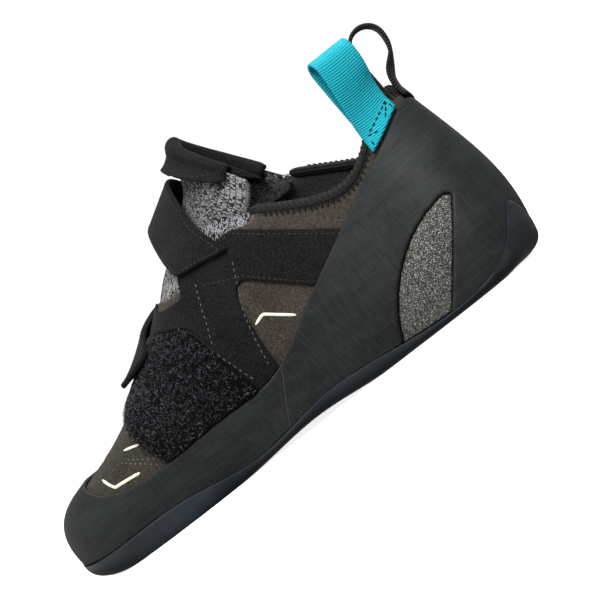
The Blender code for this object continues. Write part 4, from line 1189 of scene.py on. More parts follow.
def tongue_side(side, part, share):
    """One side of the tongue, inside the upper; share 0 at its tucked edge and 1 where the arch starts."""
    foot = 1.0 - tongue_column(side + "_tuck", part)
    climb = np.maximum(1.0 - foot, TONGUE_LEAST_SIDE)
    station = tongue_column(side + "_station", part)
    if side == "inner":
        station = STATIONS - station
    return skin_point(station, foot + climb * np.clip(share, 0.0, 1.0), TONGUE_OFFSET)


def tongue_point(part, share):
    """Outer face of the tongue: two sides inside the upper, and an arch over the throat between them."""
    part, share = np.broadcast_arrays(np.asarray(part, float), np.asarray(share, float))
    outer_side = tongue_side("outer", part, share / TONGUE_SIDE)
    inner_side = tongue_side("inner", part, (1.0 - share) / TONGUE_SIDE)
    crown = (outer_side + inner_side) / 2.0
    crown[..., 0] = LENGTH / 2 - tongue_column("crown_along", part)
    crown[..., 2] = tongue_column("crown_height", part)
    span = np.clip((share - TONGUE_SIDE) / (1.0 - 2.0 * TONGUE_SIDE), 0.0, 1.0)
    return arch(outer_side, crown, inner_side, span)


def tongue_normal(part, share):
    """Unit normal of the tongue, pointing out of the shoe."""
    part, share = np.broadcast_arrays(np.asarray(part, float), np.asarray(share, float))
    part = np.clip(part, STEP, 1.0 - STEP)
    share = np.clip(share, STEP, 1.0 - STEP)
    along = tongue_point(part + STEP, share) - tongue_point(part - STEP, share)
    across = tongue_point(part, share + STEP) - tongue_point(part, share - STEP)
    return unit(np.cross(along, across))


def make_tongue(finish):
    """Knit sheet over the throat, its edges rounded."""
    part = edged(150, 0.25)[:, None]
    share = edged(90, 0.25)[None, :]
    outer = tongue_point(part, share)
    normal = tongue_normal(part, share)
    width = np.minimum(share, 1.0 - share) * TONGUE_WIDTH
    length = np.minimum(part, 1.0 - part) * TONGUE_LENGTH
    edge = rounding(np.minimum(width, length), TONGUE_ROUNDING)[..., None]
    half = TONGUE_THICK / 2
    top = outer + normal * (half * edge - half)
    under = outer - normal * (half * edge + half)
    cloth = np.stack(np.broadcast_arrays(share * TONGUE_CLOTH_WIDTH, part * TONGUE_LENGTH), -1)
    put_slab("tongue_knit", top, under, finish, "tongue", "grey_knit", cloth=cloth)


def make_tongue_pull(finish):
    """Suede tab folded over the tongue's top: a front flap that curls forward, the fold, and a flap behind.

    The run goes up the front, over the top and down the back. The width narrows in rounded corners
    at both ends, and two low waves run over the fold and the flaps.
    """
    runs, sides = edged(70, 0.4), np.linspace(-1.0, 1.0, 61)
    run, side = runs[:, None], sides[None, :]
    front = PULL_FRONT_REACH * np.clip(1.0 - run / PULL_FOLD_START, 0.0, 1.0)
    back = PULL_BACK_REACH * np.clip((run - PULL_FOLD_END) / (1.0 - PULL_FOLD_END), 0.0, 1.0)
    part = 1.0 - front - back
    fullness = rounding(np.minimum(run, 1.0 - run), PULL_CORNER)
    width = PULL_SHARE * (PULL_NARROWEST + (1.0 - PULL_NARROWEST) * fullness)
    share = 0.5 + side * width
    fold = np.clip((run - PULL_FOLD_START) / (PULL_FOLD_END - PULL_FOLD_START), 0.0, 1.0)
    turn = np.pi * fold
    radius = TONGUE_THICK / 2 + PULL_GAP + PULL_THICK / 2
    across = radius * np.cos(turn) - TONGUE_THICK / 2
    lift = radius * np.sin(turn)
    front_flare = PULL_FRONT_FLARE * np.clip(1.0 - run / PULL_FLARE_END, 0.0, 1.0) ** 1.5
    back_part = np.clip((run - PULL_FLARE_START) / (1.0 - PULL_FLARE_START), 0.0, 1.0)
    back_flare = PULL_BACK_FLARE * back_part**1.3
    place = np.broadcast_to(part, share.shape)
    normal = tongue_normal(place, share)
    top_run = unit(tongue_point(np.full_like(share, 1.0 - STEP), share)
                   - tongue_point(np.full_like(share, 1.0 - 12 * STEP), share))
    stand = (across + front_flare - back_flare)[..., None]
    middle = tongue_point(place, share) + normal * stand + top_run * lift[..., None]
    middle[..., 2] += PULL_TOP_WAVE * np.sin(4.0 * side + 1.0) * np.sin(turn)
    middle += normal * (PULL_FLAP_WAVE * np.sin(5.0 * side + 9.0 * run) * np.sin(np.pi * run))[..., None]
    square = grid_normal(middle)
    gap_side = (1.0 - np.abs(side)) * PULL_HALF_WIDTH
    gap_run = np.minimum(run, 1.0 - run) * PULL_LENGTH
    half = PULL_THICK / 2 * rounding(np.minimum(gap_side, gap_run), PULL_ROUNDING)[..., None]
    put_slab("tongue_pull_tab", middle + square * half, middle - square * half, finish,
             "tongue_pull", "black_suede")
    outward = np.sign((square * (middle - middle.mean(axis=(0, 1)))).sum())
    return middle + square * half * outward, square * outward, runs, sides


def make_side_layers(overlay_finish, pad_finish):
    """Overlay and loop pad: skin layers with rounded edges, cut to outlines; returns the pad's outline."""
    overlay = grown(rounded_outline(OVERLAY_OUTLINE, OVERLAY_CORNER), LAYER_GROWTH)
    column, level, depth, keep = layer_grid(overlay, *OVERLAY_GRID)
    share = rounding(np.minimum(depth, (2.0 - level) * LAYER_LEVEL_RUN), LAYER_ROUNDING)
    skin_slab("side_overlay_suede", column, level, OVERLAY_THICK, share, overlay_finish, keep,
              node="side_overlay", slot="black_suede")
    pad = grown(rounded_outline(PAD_OUTLINE, PAD_CORNER), LAYER_GROWTH)
    column, level, depth, keep = layer_grid(pad, *PAD_GRID)
    share = rounding(depth, PAD_ROUNDING)
    tufts = np.random.default_rng(7).normal(0.0, TUFT_HEIGHT, column.shape) * ease(depth, *TUFT_FADE)
    skin_slab("loop_pad_pile", column, level, PAD_THICK, share, pad_finish, keep, tufts,
              node="loop_pad", slot="loop_pile")
    return pad


def make_fibres(outline, finish):
    """Short curled fibres over the loop pad: four-sided tapering hairs that rise, then bend over."""
    chance = np.random.default_rng(11)
    column = chance.uniform(*FIBRE_COLUMNS, FIBRES_TRIED)
    level = chance.uniform(*FIBRE_LEVELS, FIBRES_TRIED)
    distance = outline_distance(side_view(column, level), outline)[0]
    inside = distance < -FIBRE_MARGIN
    station, rise = grid_place(column[inside], level[inside])
    root = skin_point(station, rise, SEAT_GAP + PAD_THICK - FIBRE_ROOT)
    normal = last_normal(station, rise)
    along = unit(last_point(station + STEP, rise) - last_point(station - STEP, rise))
    across = np.cross(normal, along)
    heading = chance.uniform(0.0, 2 * np.pi, len(root))[:, None]
    lean = along * np.cos(heading) + across * np.sin(heading)
    tall = chance.uniform(*FIBRE_HEIGHTS, len(root))[:, None]
    reach = chance.uniform(*FIBRE_REACHES, len(root))[:, None]
    part = np.array(FIBRE_PARTS)[:, None]
    climb = (normal * tall)[:, None] * np.sin(FIBRE_CURL * part)
    middle = root[:, None] + climb + (lean * reach)[:, None] * part**FIBRE_BEND
    thick = FIBRE_THICK * (1.0 - FIBRE_TAPER * part)
    points = tube_rings(middle, np.cross(lean, normal)[:, None], normal[:, None], thick, 4, 45.0)
    # Painted glints: a random tone for each fibre, raised to a power so that only a few fibres are pale,
    # stands in for light glinting on the pile's loops.
    tone = np.repeat(chance.uniform(0.0, 1.0, len(root)) ** FIBRE_GLINT_CONTRAST, len(part) * 4)
    put_piece("loop_pad_fibres", points, tube_quads(len(part), 4, len(root)), finish,
              marks={"tone": tone}, weld=False)


def strap_surface(strap, offsets, lift, share, end_round):
    """Under face of a strap: up the outer side, over the crown as an arch, and down the inner side."""
    outer_count, crown_count, inner_count = STRAP_COUNTS
    outer_end, outer_throat, inner_throat, inner_end = (
        np.interp(share, (0.0, 1.0), strap[name])[:, None]
        for name in ("outer_end", "outer_throat", "inner_throat", "inner_end")
    )
    end_shift = end_round * (1.0 - rounding(end_gap(share), STRAP_END_CORNER))[:, None]
    outer_start = strap["outer_stop"] + end_shift
    outer_part = np.linspace(0.0, 1.0, outer_count)[None, :]
    outer_rise = outer_start + (1.0 - outer_start) * outer_part
    drift = (outer_rise - strap["outer_stop"]) / (1.0 - strap["outer_stop"])
    fade = np.clip(1.0 - outer_part / TIP_FADE, 0.0, None) ** 2
    seated = np.interp(outer_rise, (SETTLE_RISE, 1.0), offsets[:2])
    outer_station = outer_end + (outer_throat - outer_end) * drift
    outer = skin_point(outer_station, outer_rise, seated + lift * share[:, None] * fade)
    inner_part = np.linspace(0.0, 1.0, inner_count)[None, :]
    inner_station = STATIONS - (inner_throat + (inner_end - inner_throat) * inner_part)
    inner = skin_point(inner_station, 1.0 + (strap["inner_stop"] - 1.0) * inner_part, offsets[2])
    rear_crown, front_crown = (np.array(crown) for crown in strap["crowns"])
    crown = rear_crown + (front_crown - rear_crown) * share[:, None]
    top = (outer[:, -1] + inner[:, 0]) / 2.0
    top[:, 0] = LENGTH / 2 - crown[:, 0]
    top[:, 2] = crown[:, 1]
    spread = np.tile(np.linspace(0.0, 1.0, crown_count)[1:-1], (len(share), 1))
    bridge = arch(outer[:, -1:], top[:, None], inner[:, :1], spread)
    return np.concatenate([outer, bridge, inner], axis=1)


def softened(surface, passes):
    """Surface averaged with its neighbours along its length, both ends kept."""
    for _ in range(passes):
        middle = (surface[:, :-2] + 2.0 * surface[:, 1:-1] + surface[:, 2:]) / 4.0
        surface = np.concatenate([surface[:, :1], middle, surface[:, -1:]], axis=1)
    return surface


def make_strap(node, strap, offsets, lift, end_round, finish):
    """Strap as a slab of even thickness with rounded edges and ends; returns its top face for stitches."""
    share = edged(34, 0.6)
    under = softened(strap_surface(strap, offsets, lift, share, end_round), STRAP_SOFTENING)
    square = grid_normal(under)
    lengths = np.cumsum(np.linalg.norm(np.gradient(under, axis=1), axis=-1), axis=1)
    width_gap = end_gap(share)[:, None] * STRAP_WIDTH
    edge = rounding(np.minimum(width_gap, end_gap(lengths)), STRAP_ROUNDING)[..., None]
    half = STRAP_THICK / 2
    square *= np.sign((square * (under - under.mean(axis=(0, 1)))).sum())
    top = under + square * (half + half * edge)
    low = under + square * (half - half * edge)
    cloth = np.stack(np.broadcast_arrays(share[:, None] * STRAP_WIDTH, lengths), -1)
    put_slab(node + "_suede", top, low, finish, node, "black_suede", cloth=cloth)
    return top, square, share, run_lengths(top[len(share) // 2])


def tape_place(station, turn, swell=1.0):
    """Point and normal of the collar tape's half-round section, at a turn from its outer side upwards."""
    top = np.ones_like(station)
    edge = last_point(station, top)
    outward = last_normal(station, top)
    upward = unit(edge - last_point(station, top - STEP))
    cosine, sine = np.cos(turn)[..., None], np.sin(turn)[..., None]
    middle = edge - outward * UPPER_WALL / 2 + upward * SEAT_GAP
    normal = unit(outward * cosine / BINDING_WIDTH * 2 + upward * sine / BINDING_HEIGHT)
    return middle + (outward * cosine * BINDING_WIDTH / 2 + upward * sine * BINDING_HEIGHT) * swell, normal


def zigzag_mesh():
    """Overcast thread that swings between the top of the collar tape and the suede below it."""
    last_station = BINDING_STATIONS - ZIGZAG_INSET
    station = np.linspace(-last_station, last_station, 4200)
    edge = last_point(station, np.ones_like(station))
    swing = np.abs(np.mod(run_lengths(edge) / ZIGZAG_PITCH, 1.0) * 2.0 - 1.0)
    over, tape_normal = tape_place(station, TAPE_TURN + ZIGZAG_TURN * np.clip(swing * 2.0 - 1.0, 0.0, 1.0))
    low = np.clip(1.0 - swing * 2.0, 0.0, 1.0)
    tenth = np.linalg.norm(edge - last_point(station, np.full_like(station, 0.9)), axis=-1)
    rise = 1.0 - (ZIGZAG_DROP + ZIGZAG_REACH * low) * 0.1 / tenth
    under = skin_point(station, rise, ZIGZAG_STAND * (1.0 - low))
    on_tape = (swing > 0.5)[:, None]
    points = np.where(on_tape, over, under)
    normals = unit(np.where(on_tape, tape_normal, last_normal(station, rise)))
    return thread_mesh(points, normals, ZIGZAG_THICK, ZIGZAG_HEIGHT)


def make_binding(finish):
    """Tape over the collar edge: a half-round section carried along the edge."""
    station = np.linspace(-BINDING_STATIONS - TAPE_INNER_OVERRUN, BINDING_STATIONS + TAPE_OUTER_OVERRUN, 420)
    fullness = rounding(end_gap(station) * PLACE_RUN[0], TAPE_END_ROUNDING)
    swell = (TAPE_END_SIZE + (1.0 - TAPE_END_SIZE) * fullness)[:, None]
    turns = np.linspace(TAPE_TURN, np.pi - TAPE_TURN, 16)
    points = np.array([tape_place(station, np.full_like(station, turn), swell)[0] for turn in turns])
    lengths = run_lengths(last_point(station, np.ones_like(station)))
    girth = np.linspace(0.0, TAPE_GIRTH, len(turns))
    cloth = np.stack(np.broadcast_arrays(lengths[None, :], girth[:, None]), -1)
    first = np.arange(len(turns)) * len(station)
    quads = np.concatenate([grid_quads(len(turns), len(station), wrap_rows=True),
                            ring_cap(first[::-1]), ring_cap(first + len(station) - 1)])
    put_piece("collar_binding_tape", points, quads, finish, "collar_binding", cloth=cloth)


def loop_line(row, side):
    """Middle line of a heel loop at one place across it: up outside, over the fold and down inside."""
    middle_station, top_height, opening, lean = row[1:]
    station = np.array(middle_station + side / LOOP_STATION_LENGTH)
    out_offset = LOOP_CLEARANCE + WEBBING_THICK / 2
    in_offset = -UPPER_WALL - LOOP_CLEARANCE - WEBBING_THICK / 2
    rand_rise = last_column("rand", station)
    outside = skin_point(station, np.linspace(rand_rise + LOOP_FOOT_GAP, 1.0, 8), out_offset)
    inside = skin_point(station, np.linspace(1.0, 1.0 - LOOP_INSIDE_TUCK, 8), in_offset)
    middle_edge = last_point(np.array(middle_station), np.array(1.0))
    outward = -plan_inward("edge", np.array(middle_station))
    sideways = np.array([outward[1], -outward[0], 0.0])
    radius = (opening + WEBBING_THICK) / 2
    fold = middle_edge + outward * lean + sideways * side
    fold[2] = top_height - radius - WEBBING_THICK / 2
    reach = np.array([0.0, 0.0, LOOP_STIFFNESS])
    front, back = fold + outward * radius, fold - outward * radius
    rising = bezier((outside[-1], outside[-1] + reach, front - reach, front), 24)
    turn = np.linspace(0.0, np.pi, 22)[1:-1, None]
    folded = fold + outward * radius * np.cos(turn) + np.array([0.0, 0.0, radius]) * np.sin(turn)
    falling = bezier((back, back - reach, inside[0] + reach, inside[0]), 24)
    line = np.concatenate([outside[:-1], rising, folded, falling, inside[1:]])
    return resample(line, LOOP_POINTS), sideways


def make_loop(row, finish, slot):
    """Webbing loop as a slab round its middle surface; returns its outer face for stitches."""
    sides = (edged(26, 0.5) - 0.5) * LOOP_WIDTH
    lines = [loop_line(row, side) for side in sides]
    middle = np.array([line for line, _ in lines])
    sideways = lines[0][1]
    run = np.gradient(middle, axis=1)
    square = unit(np.cross(run, sideways))
    lengths = np.cumsum(np.linalg.norm(run, axis=-1), axis=1)
    gap_side = (LOOP_WIDTH / 2 - np.abs(sides))[:, None]
    half = WEBBING_THICK / 2 * rounding(np.minimum(gap_side, end_gap(lengths)), WEBBING_ROUNDING)[..., None]
    top = middle[..., 2].argmax(axis=1)
    from_top = lengths - lengths[np.arange(len(sides)), top][:, None]
    cloth = np.stack(np.broadcast_arrays(sides[:, None], from_top), -1)
    centre, outer, inner = len(sides) // 2, LOOP_POINTS // 6, LOOP_POINTS * 5 // 6
    square *= np.sign(square[centre, outer] @ (middle[centre, outer] - middle[centre, inner]))
    face = middle + square * half
    put_slab(row[0] + "_webbing", face, middle - square * half, finish, row[0], slot, cloth=cloth)
    return face, square, sides / LOOP_WIDTH + 0.5, np.linspace(0.0, 1.0, LOOP_POINTS)


# Lines, stitches and threads

def skin_line(places, count):
    """Even points and normals of the skin along a line of (station, rise) places."""
    spots = resample(np.asarray(places, float) * PLACE_RUN, 60) / PLACE_RUN
    lengths = run_lengths(last_point(spots[:, 0], spots[:, 1]))
    even = np.linspace(0.0, lengths[-1], count)
    station = np.interp(even, lengths, spots[:, 0])
    rise = np.interp(even, lengths, spots[:, 1])
    return last_point(station, rise), last_normal(station, rise)


def stitch_mesh(points, normals, pitch, share, thick, height):
    """Row of stitches along a line of points: each a six-sided bar that arches out of the cloth."""
    lengths = run_lengths(points)
    count = max(int(lengths[-1] / pitch), 1)
    starts = (np.arange(count) + 0.5 * (1.0 - share)) * pitch
    parts = np.linspace(0.0, 1.0, 6)
    along = starts[:, None] + parts[None] * pitch * share
    middle = along_line(along, lengths, points)
    normal = unit(along_line(along, lengths, normals))
    side = np.cross(unit(np.gradient(middle, axis=1)), normal)
    bow = np.sin(np.pi * parts)[None, :, None]
    middle = middle + normal * (height + thick * (STITCH_ARCH * bow - STITCH_SINK))
    size = thick * np.sqrt(np.clip(bow, STITCH_THINNEST, 1.0))
    rings = tube_rings(middle, side, normal, size, THREAD_SIDES)
    return rings.reshape(-1, 3), tube_quads(len(parts), THREAD_SIDES, count)


def thread_mesh(points, normals, thick, height):
    """Thread laid along a line: a six-sided tube at a height over the cloth."""
    side = np.cross(unit(np.gradient(points, axis=0)), normals)
    rings = tube_rings(points + normals * height, side, normals, thick, THREAD_SIDES)
    return rings.reshape(-1, 3), tube_quads(len(points), THREAD_SIDES)


def put_stitches(name, meshes, finish):
    """One piece from several meshes of thread, each given as points and quads."""
    starts = np.cumsum([0] + [len(points) for points, _ in meshes[:-1]])
    points = np.concatenate([points for points, _ in meshes])
    quads = np.concatenate([quads + start for (_, quads), start in zip(meshes, starts)])
    put_piece(name, points, quads, finish, weld=False)


def make_print_line(name, places, width, finish):
    """Cream line: a thin flat band with rounded edges, laid along the skin."""
    points, normals = skin_line(rounded_path(np.array(places) * PLACE_RUN, PRINT_CORNER) / PLACE_RUN, 60)
    put_band(name, points, normals, width, PRINT_HEIGHT, finish, "brown_suede")


def put_band(name, points, normals, width, height, finish, slot):
    """Flat band along a line of points, its edges rounded and its ends drawn in."""
    side = np.cross(unit(np.gradient(points, axis=0)), normals)
    across = np.linspace(-1.0, 1.0, 9)[:, None, None]
    fullness = rounding(end_gap(run_lengths(points)), BAND_END_ROUNDING)[:, None]
    flat = points + side * across * width / 2 * (BAND_END_SIZE + (1.0 - BAND_END_SIZE) * fullness)
    top = flat + normals * (height * rounding(1.0 - np.abs(across), BAND_EDGE_SHARE) - BAND_EDGE_DEPTH)
    put_slab(name, top, flat - normals * BAND_DEPTH, finish, slot=slot)


def face_line(face, places, count=60):
    """Points and normals along a line on a face, which is a grid, its normals, row and column places."""
    grid, normals, row_places, column_places = face
    path = resample(np.asarray(places, float), count)
    row = np.interp(path[:, 0], row_places, np.arange(len(row_places)))
    column = np.interp(path[:, 1], column_places, np.arange(len(column_places)))
    return grid_sample(grid, row, column), unit(grid_sample(normals, row, column))


def make_strap_print(face, finish):
    """Cream line on a strap: a flat band along a bent line of (share of width, run in metres)."""
    corners = np.array(STRAP_PRINT_PLACES) * STRAP_PRINT_RUN
    points, normals = face_line(face, rounded_path(corners, STRAP_PRINT_CORNER) / STRAP_PRINT_RUN)
    put_band("strap_print_line", points, normals, STRAP_PRINT_WIDTH, PRINT_HEIGHT, finish, "black_suede")


def grid_sample(grid, row, column):
    """Values of a grid between its rows and columns, by straight mixing."""
    low_row = np.clip(row.astype(int), 0, grid.shape[0] - 2)
    low_column = np.clip(column.astype(int), 0, grid.shape[1] - 2)
    by_row = (row - low_row)[:, None]
    by_column = (column - low_column)[:, None]
    near = grid[low_row, low_column] * (1 - by_column) + grid[low_row, low_column + 1] * by_column
    far = grid[low_row + 1, low_column] * (1 - by_column) + grid[low_row + 1, low_column + 1] * by_column
    return near * (1 - by_row) + far * by_row


def rounded_path(corners, radius):
    """Open line with its inner corners replaced by parabolas."""
    pieces = [corners[:1]]
    for before, corner, after in zip(corners[:-2], corners[1:-1], corners[2:]):
        back, ahead = before - corner, after - corner
        entry = corner + back * min(CORNER_SHARE, radius / np.linalg.norm(back))
        leave = corner + ahead * min(CORNER_SHARE, radius / np.linalg.norm(ahead))
        part = np.linspace(0.0, 1.0, PATH_CORNER_POINTS)[:, None]
        pieces.append(parabola(part, entry, corner, leave))
    pieces.append(corners[-1:])
    return np.concatenate(pieces)


def make_stitches(pale, grey, dark):
    """Stitch rows on the overlay and toe, and the zigzag thread of the binding."""
    rows = (
        (((3.66, 0.79), (3.68, 0.70), (3.70, 0.595), (3.76, 0.475)), ON_OVERLAY),
        (((3.17, 0.80), (3.22, 0.66), (3.27, 0.56), (3.30, 0.41), (3.33, 0.24)), ON_OVERLAY),
        (((3.75, 0.465), (3.63, 0.355), (3.53, 0.25)), ON_OVERLAY),
        (((5.52, 0.345), (5.20, 0.265), (4.99, 0.215)), 0.0),
        (((5.66, 0.365), (5.26, 0.255), (5.01, 0.190)), 0.0),
    )
    pale_rows = [stitch_mesh(*skin_line(places, 200), *PALE_STITCH, height) for places, height in rows]
    put_stitches("stitches_pale", pale_rows, pale)
    grey_rows = []
    for views in (
        ((0.1120, 0.0779), (0.0860, 0.0779), (0.0467, 0.0511)),
        ((0.1070, 0.0690), (0.0960, 0.0645), (0.0898, 0.0624), (0.0610, 0.0384)),
    ):
        places = np.stack(skin_places(resample(np.array(views), 40), (3.0, 1.5)), -1)
        grey_rows.append(stitch_mesh(*skin_line(places, 200), *GREY_STITCH))
    put_stitches("stitches_grey", grey_rows, grey)
    put_stitches("stitches_zigzag", [zigzag_mesh()], dark)


def make_face_stitches(loop, pull, rear, front, thread, loop_thread):
    """Stitch rows on faces: box and cross at the loop's foot, rows inside the edges of straps and pull."""
    loop_rows = (
        ((0.10, 0.064), (0.90, 0.064)), ((0.10, 0.064), (0.46, 0.014)), ((0.90, 0.064), (0.54, 0.014)),
        ((0.10, 0.012), (0.10, 0.064)), ((0.90, 0.012), (0.90, 0.064)),
    )
    meshes = [stitch_mesh(*face_line(loop, row), *LOOP_STITCH) for row in loop_rows]
    put_stitches("stitches_loop", meshes, loop_thread)
    meshes = []
    for strap, inner_box in ((rear, 0.016), (front, 0.012)):
        end = strap[3][-1]
        low, high = STITCH_EDGE, 1.0 - STITCH_EDGE
        first, last = STITCH_END, end - STITCH_END
        box = ((low, end - inner_box), (high, end - inner_box))
        for row in (((low, first), (low, last)), ((high, first), (high, last)), ((low, first), (high, first)),
                    ((low, last), (high, last)), box):
            meshes.append(stitch_mesh(*face_line(strap, row, 240), *STRAP_STITCH))
    for side in (-0.86, 0.86):
        for first, last in ((0.10, 0.38), (0.60, 0.90)):
            meshes.append(stitch_mesh(*face_line(pull, ((first, side), (last, side))), *PULL_STITCH))
    put_stitches("stitches_straps", meshes, thread)


def make_seam_lines(finish):
    """Faint line of glue along both seams between the rands."""
    for name, column in (("seam_line_outer", SEAM_STATION), ("seam_line_inner", STATIONS - SEAM_STATION)):
        station, rise = grid_place(np.full(60, column), np.linspace(*SEAM_LINE_LEVELS, 60))
        rise = np.maximum(rise, RAND_FOOT_RISE)
        points = skin_point(station, rise, SEAT_GAP + RAND_THICK)
        put_band(name, points, last_normal(station, rise), SEAM_LINE_WIDTH, SEAM_LINE_HEIGHT, finish,
                 "rand_rubber")


# Stage

def add_area(name, place, target, size, power):
    """Soft box of a width and height, aimed at a target."""
    light = bpy.data.lights.new(name, "AREA")
    light.shape = "RECTANGLE"
    light.size, light.size_y = size
    light.energy = power
    lamp = bpy.data.objects.new(name, light)
    bpy.context.scene.collection.objects.link(lamp)
    lamp.location = place
    lamp.rotation_euler = (Vector(target) - Vector(place)).to_track_quat("-Z", "Y").to_euler()


def make_stage():
    """Pale floor that meets an equally pale surround, and three soft boxes."""
    reach = FLOOR_HALF_SIZE
    corners = [(-reach, -reach, 0.0), (reach, -reach, 0.0), (reach, reach, 0.0), (-reach, reach, 0.0)]
    mesh = bpy.data.meshes.new("studio_floor")
    mesh.from_pydata(corners, [], [(0, 1, 2, 3)])
    floor = bpy.data.objects.new("studio_floor", mesh)
    bpy.context.scene.collection.objects.link(floor)
    paper = Finish("studio_paper", (0.92, 0.92, 0.92), 0.9)
    paper.set("Emission Color", (1.0, 1.0, 1.0, 1.0))
    paper.set("Emission Strength", PAPER_GLOW)
    mesh.materials.append(paper.material)
    floor.visible_diffuse = False
    floor.visible_glossy = False

    world = bpy.data.worlds.new("studio_surround")
    world.use_nodes = True
    backdrop = world.node_tree.nodes["Background"]
    nodes, links = world.node_tree.nodes, world.node_tree.links
    heading = nodes.new("ShaderNodeSeparateXYZ")
    links.new(nodes.new("ShaderNodeTexCoord").outputs["Generated"], heading.inputs["Vector"])
    level = nodes.new("ShaderNodeMapRange")
    links.new(heading.outputs["Z"], level.inputs["Value"])
    level.inputs["From Min"].default_value = -1.0
    tint = nodes.new("ShaderNodeValToRGB")
    ramp = tint.color_ramp.elements
    for place, _ in SURROUND_TONES[1:-1]:
        ramp.new(place)
    for element, (place, tone) in zip(ramp, SURROUND_TONES):
        element.position = place
        element.color = (tone, tone, tone, 1.0)
    links.new(level.outputs["Result"], tint.inputs["Fac"])
    links.new(tint.outputs["Color"], backdrop.inputs["Color"])
    backdrop.inputs["Strength"].default_value = SURROUND_STRENGTH
    bpy.context.scene.world = world

    add_area("key_softbox", (0.75, -0.85, 1.15), (0.03, 0.0, 0.05), (1.0, 1.0), 36.0)
    add_area("toe_softbox", (-1.0, -0.9, 0.7), (-0.05, 0.0, 0.03), (0.9, 0.9), 5.0)
    add_area("top_softbox", (0.0, 0.6, 1.4), (0.0, 0.0, 0.05), (1.2, 0.8), 12.0)


def add_camera():
    """Camera at the photo's angle to the shoe, rolled, a little above the floor."""
    azimuth, elevation, roll = np.radians((AZIMUTH, ELEVATION, ROLL))
    level = np.cos(elevation)
    back = np.array([np.sin(azimuth) * level, -np.cos(azimuth) * level, np.sin(elevation)])
    right = np.array([np.cos(azimuth), np.sin(azimuth), 0.0])
    upward = np.cross(back, right)
    turned_right = right * np.cos(roll) - upward * np.sin(roll)
    turned_up = right * np.sin(roll) + upward * np.cos(roll)
    data = bpy.data.cameras.new("photo_camera")
    data.sensor_fit = "HORIZONTAL"
    data.sensor_width = SENSOR_MILLIMETRES
    data.lens = SENSOR_MILLIMETRES * CAMERA_DISTANCE * PIXELS_PER_METRE / PICTURE_WIDTH
    camera = bpy.data.objects.new("photo_camera", data)
    bpy.context.scene.collection.objects.link(camera)
    aim = np.array([0.0, 0.0, AIM_HEIGHT]) + CENTRE_SHIFT
    aim += (turned_right * AIM_RIGHT + turned_up * AIM_UP) / PIXELS_PER_METRE
    place = aim + back * CAMERA_DISTANCE
    camera.matrix_world = Matrix((*np.stack([turned_right, turned_up, back, place], 1), (0.0, 0.0, 0.0, 1.0)))
    bpy.context.scene.camera = camera
    bpy.context.scene.view_settings.view_transform = "Standard"


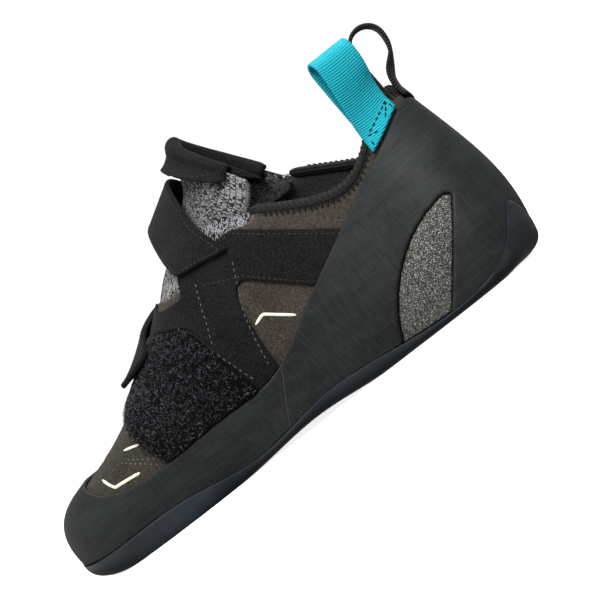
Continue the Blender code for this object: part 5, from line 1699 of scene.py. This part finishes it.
def dress_shoe():
    """Makes the finishes, then every piece of the shoe."""
    upper = upper_finish()
    black_suede = suede_finish(
        "black_microsuede", (0.0003, 0.0003, 0.0003), (0.0140, 0.0142, 0.0140), (0.090, 0.092, 0.090),
        0.94, 0.55, 1150.0)
    rand = rubber_finish(
        "rand_rubber", (0.0048, 0.0053, 0.0056), (0.0285, 0.0310, 0.0319), 0.60, 0.26,
        (0.0, -35.0, 20.0), 0.50)
    sole = sole_finish()
    knit = knit_finish("tongue_knit")
    heather = heather_finish("window_heather")
    pile = pile_finish("loop_pile", (0.0010, 0.0010, 0.0014), (0.007, 0.007, 0.009))
    fibre = fibre_finish("pile_fibre", (0.0012, 0.0012, 0.0016), (0.205, 0.205, 0.230))
    tape = webbing_finish("binding_tape", (0.0015, 0.0015, 0.0015), (0.009, 0.009, 0.009), 0.0011, 0.0)
    turquoise = webbing_finish("turquoise_webbing", (0.004, 0.29, 0.37), (0.010, 0.47, 0.575), 0.00098, 0.0)
    black_webbing = webbing_finish("black_webbing", (0.003, 0.003, 0.004), (0.018, 0.018, 0.018), 0.0012, 0.9)
    footbed = plain_finish("footbed_cloth", (0.035, 0.035, 0.037), (0.075, 0.075, 0.078), 0.95, 900.0)
    pale_thread = plain_finish("pale_thread", (0.11, 0.11, 0.105), (0.24, 0.24, 0.23), 0.75, 4000.0)
    dark_thread = plain_finish("dark_thread", (0.004, 0.004, 0.004), (0.020, 0.020, 0.020), 0.45, 4000.0)
    grey_thread = plain_finish("grey_thread", (0.014, 0.014, 0.014), (0.050, 0.050, 0.048), 0.65, 4000.0)
    seam_glue = plain_finish("seam_glue", (0.045, 0.045, 0.044), (0.085, 0.085, 0.083), 0.6, 900.0)
    cream = plain_finish("cream_print", (0.80, 0.79, 0.66), (0.90, 0.89, 0.77), 0.55, 2500.0)

    make_upper(upper)
    make_rands(rand)
    make_window(heather)
    make_outsole(sole)
    make_insole(footbed)
    make_tongue(knit)
    pull = make_tongue_pull(black_suede)
    pad_outline = make_side_layers(black_suede, pile)
    make_fibres(pad_outline, fibre)
    over_overlay = ON_OVERLAY + STRAP_GAP
    over_pad = SEAT_GAP + PAD_THICK + STRAP_GAP
    rear = make_strap(
        "rear_strap", REAR_STRAP, (over_overlay, over_overlay, STRAP_INNER_GAP), 0.0, 0.02, black_suede)
    front = make_strap(
        "front_strap", FRONT_STRAP, (over_pad, over_overlay, STRAP_INNER_GAP), TIP_LIFT, 0.05, black_suede)
    make_strap_print(front, cream)
    make_binding(tape)
    loop = make_loop(LOOP_ROWS[0], turquoise, "turquoise_webbing")
    make_loop(LOOP_ROWS[1], black_webbing, "black_webbing")
    make_face_stitches(loop, pull, rear, front, grey_thread, dark_thread)
    make_seam_lines(seam_glue)
    make_stitches(pale_thread, grey_thread, dark_thread)
    for name, places, width in PRINT_LINES:
        make_print_line(name, places, width, cream)


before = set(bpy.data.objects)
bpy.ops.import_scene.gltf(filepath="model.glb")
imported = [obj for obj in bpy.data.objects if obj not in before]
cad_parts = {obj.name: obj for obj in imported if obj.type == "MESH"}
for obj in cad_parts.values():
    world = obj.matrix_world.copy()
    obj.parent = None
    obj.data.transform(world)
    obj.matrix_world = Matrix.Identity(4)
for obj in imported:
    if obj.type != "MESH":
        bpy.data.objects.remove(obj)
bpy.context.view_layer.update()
dress_shoe()
make_stage()
add_camera()
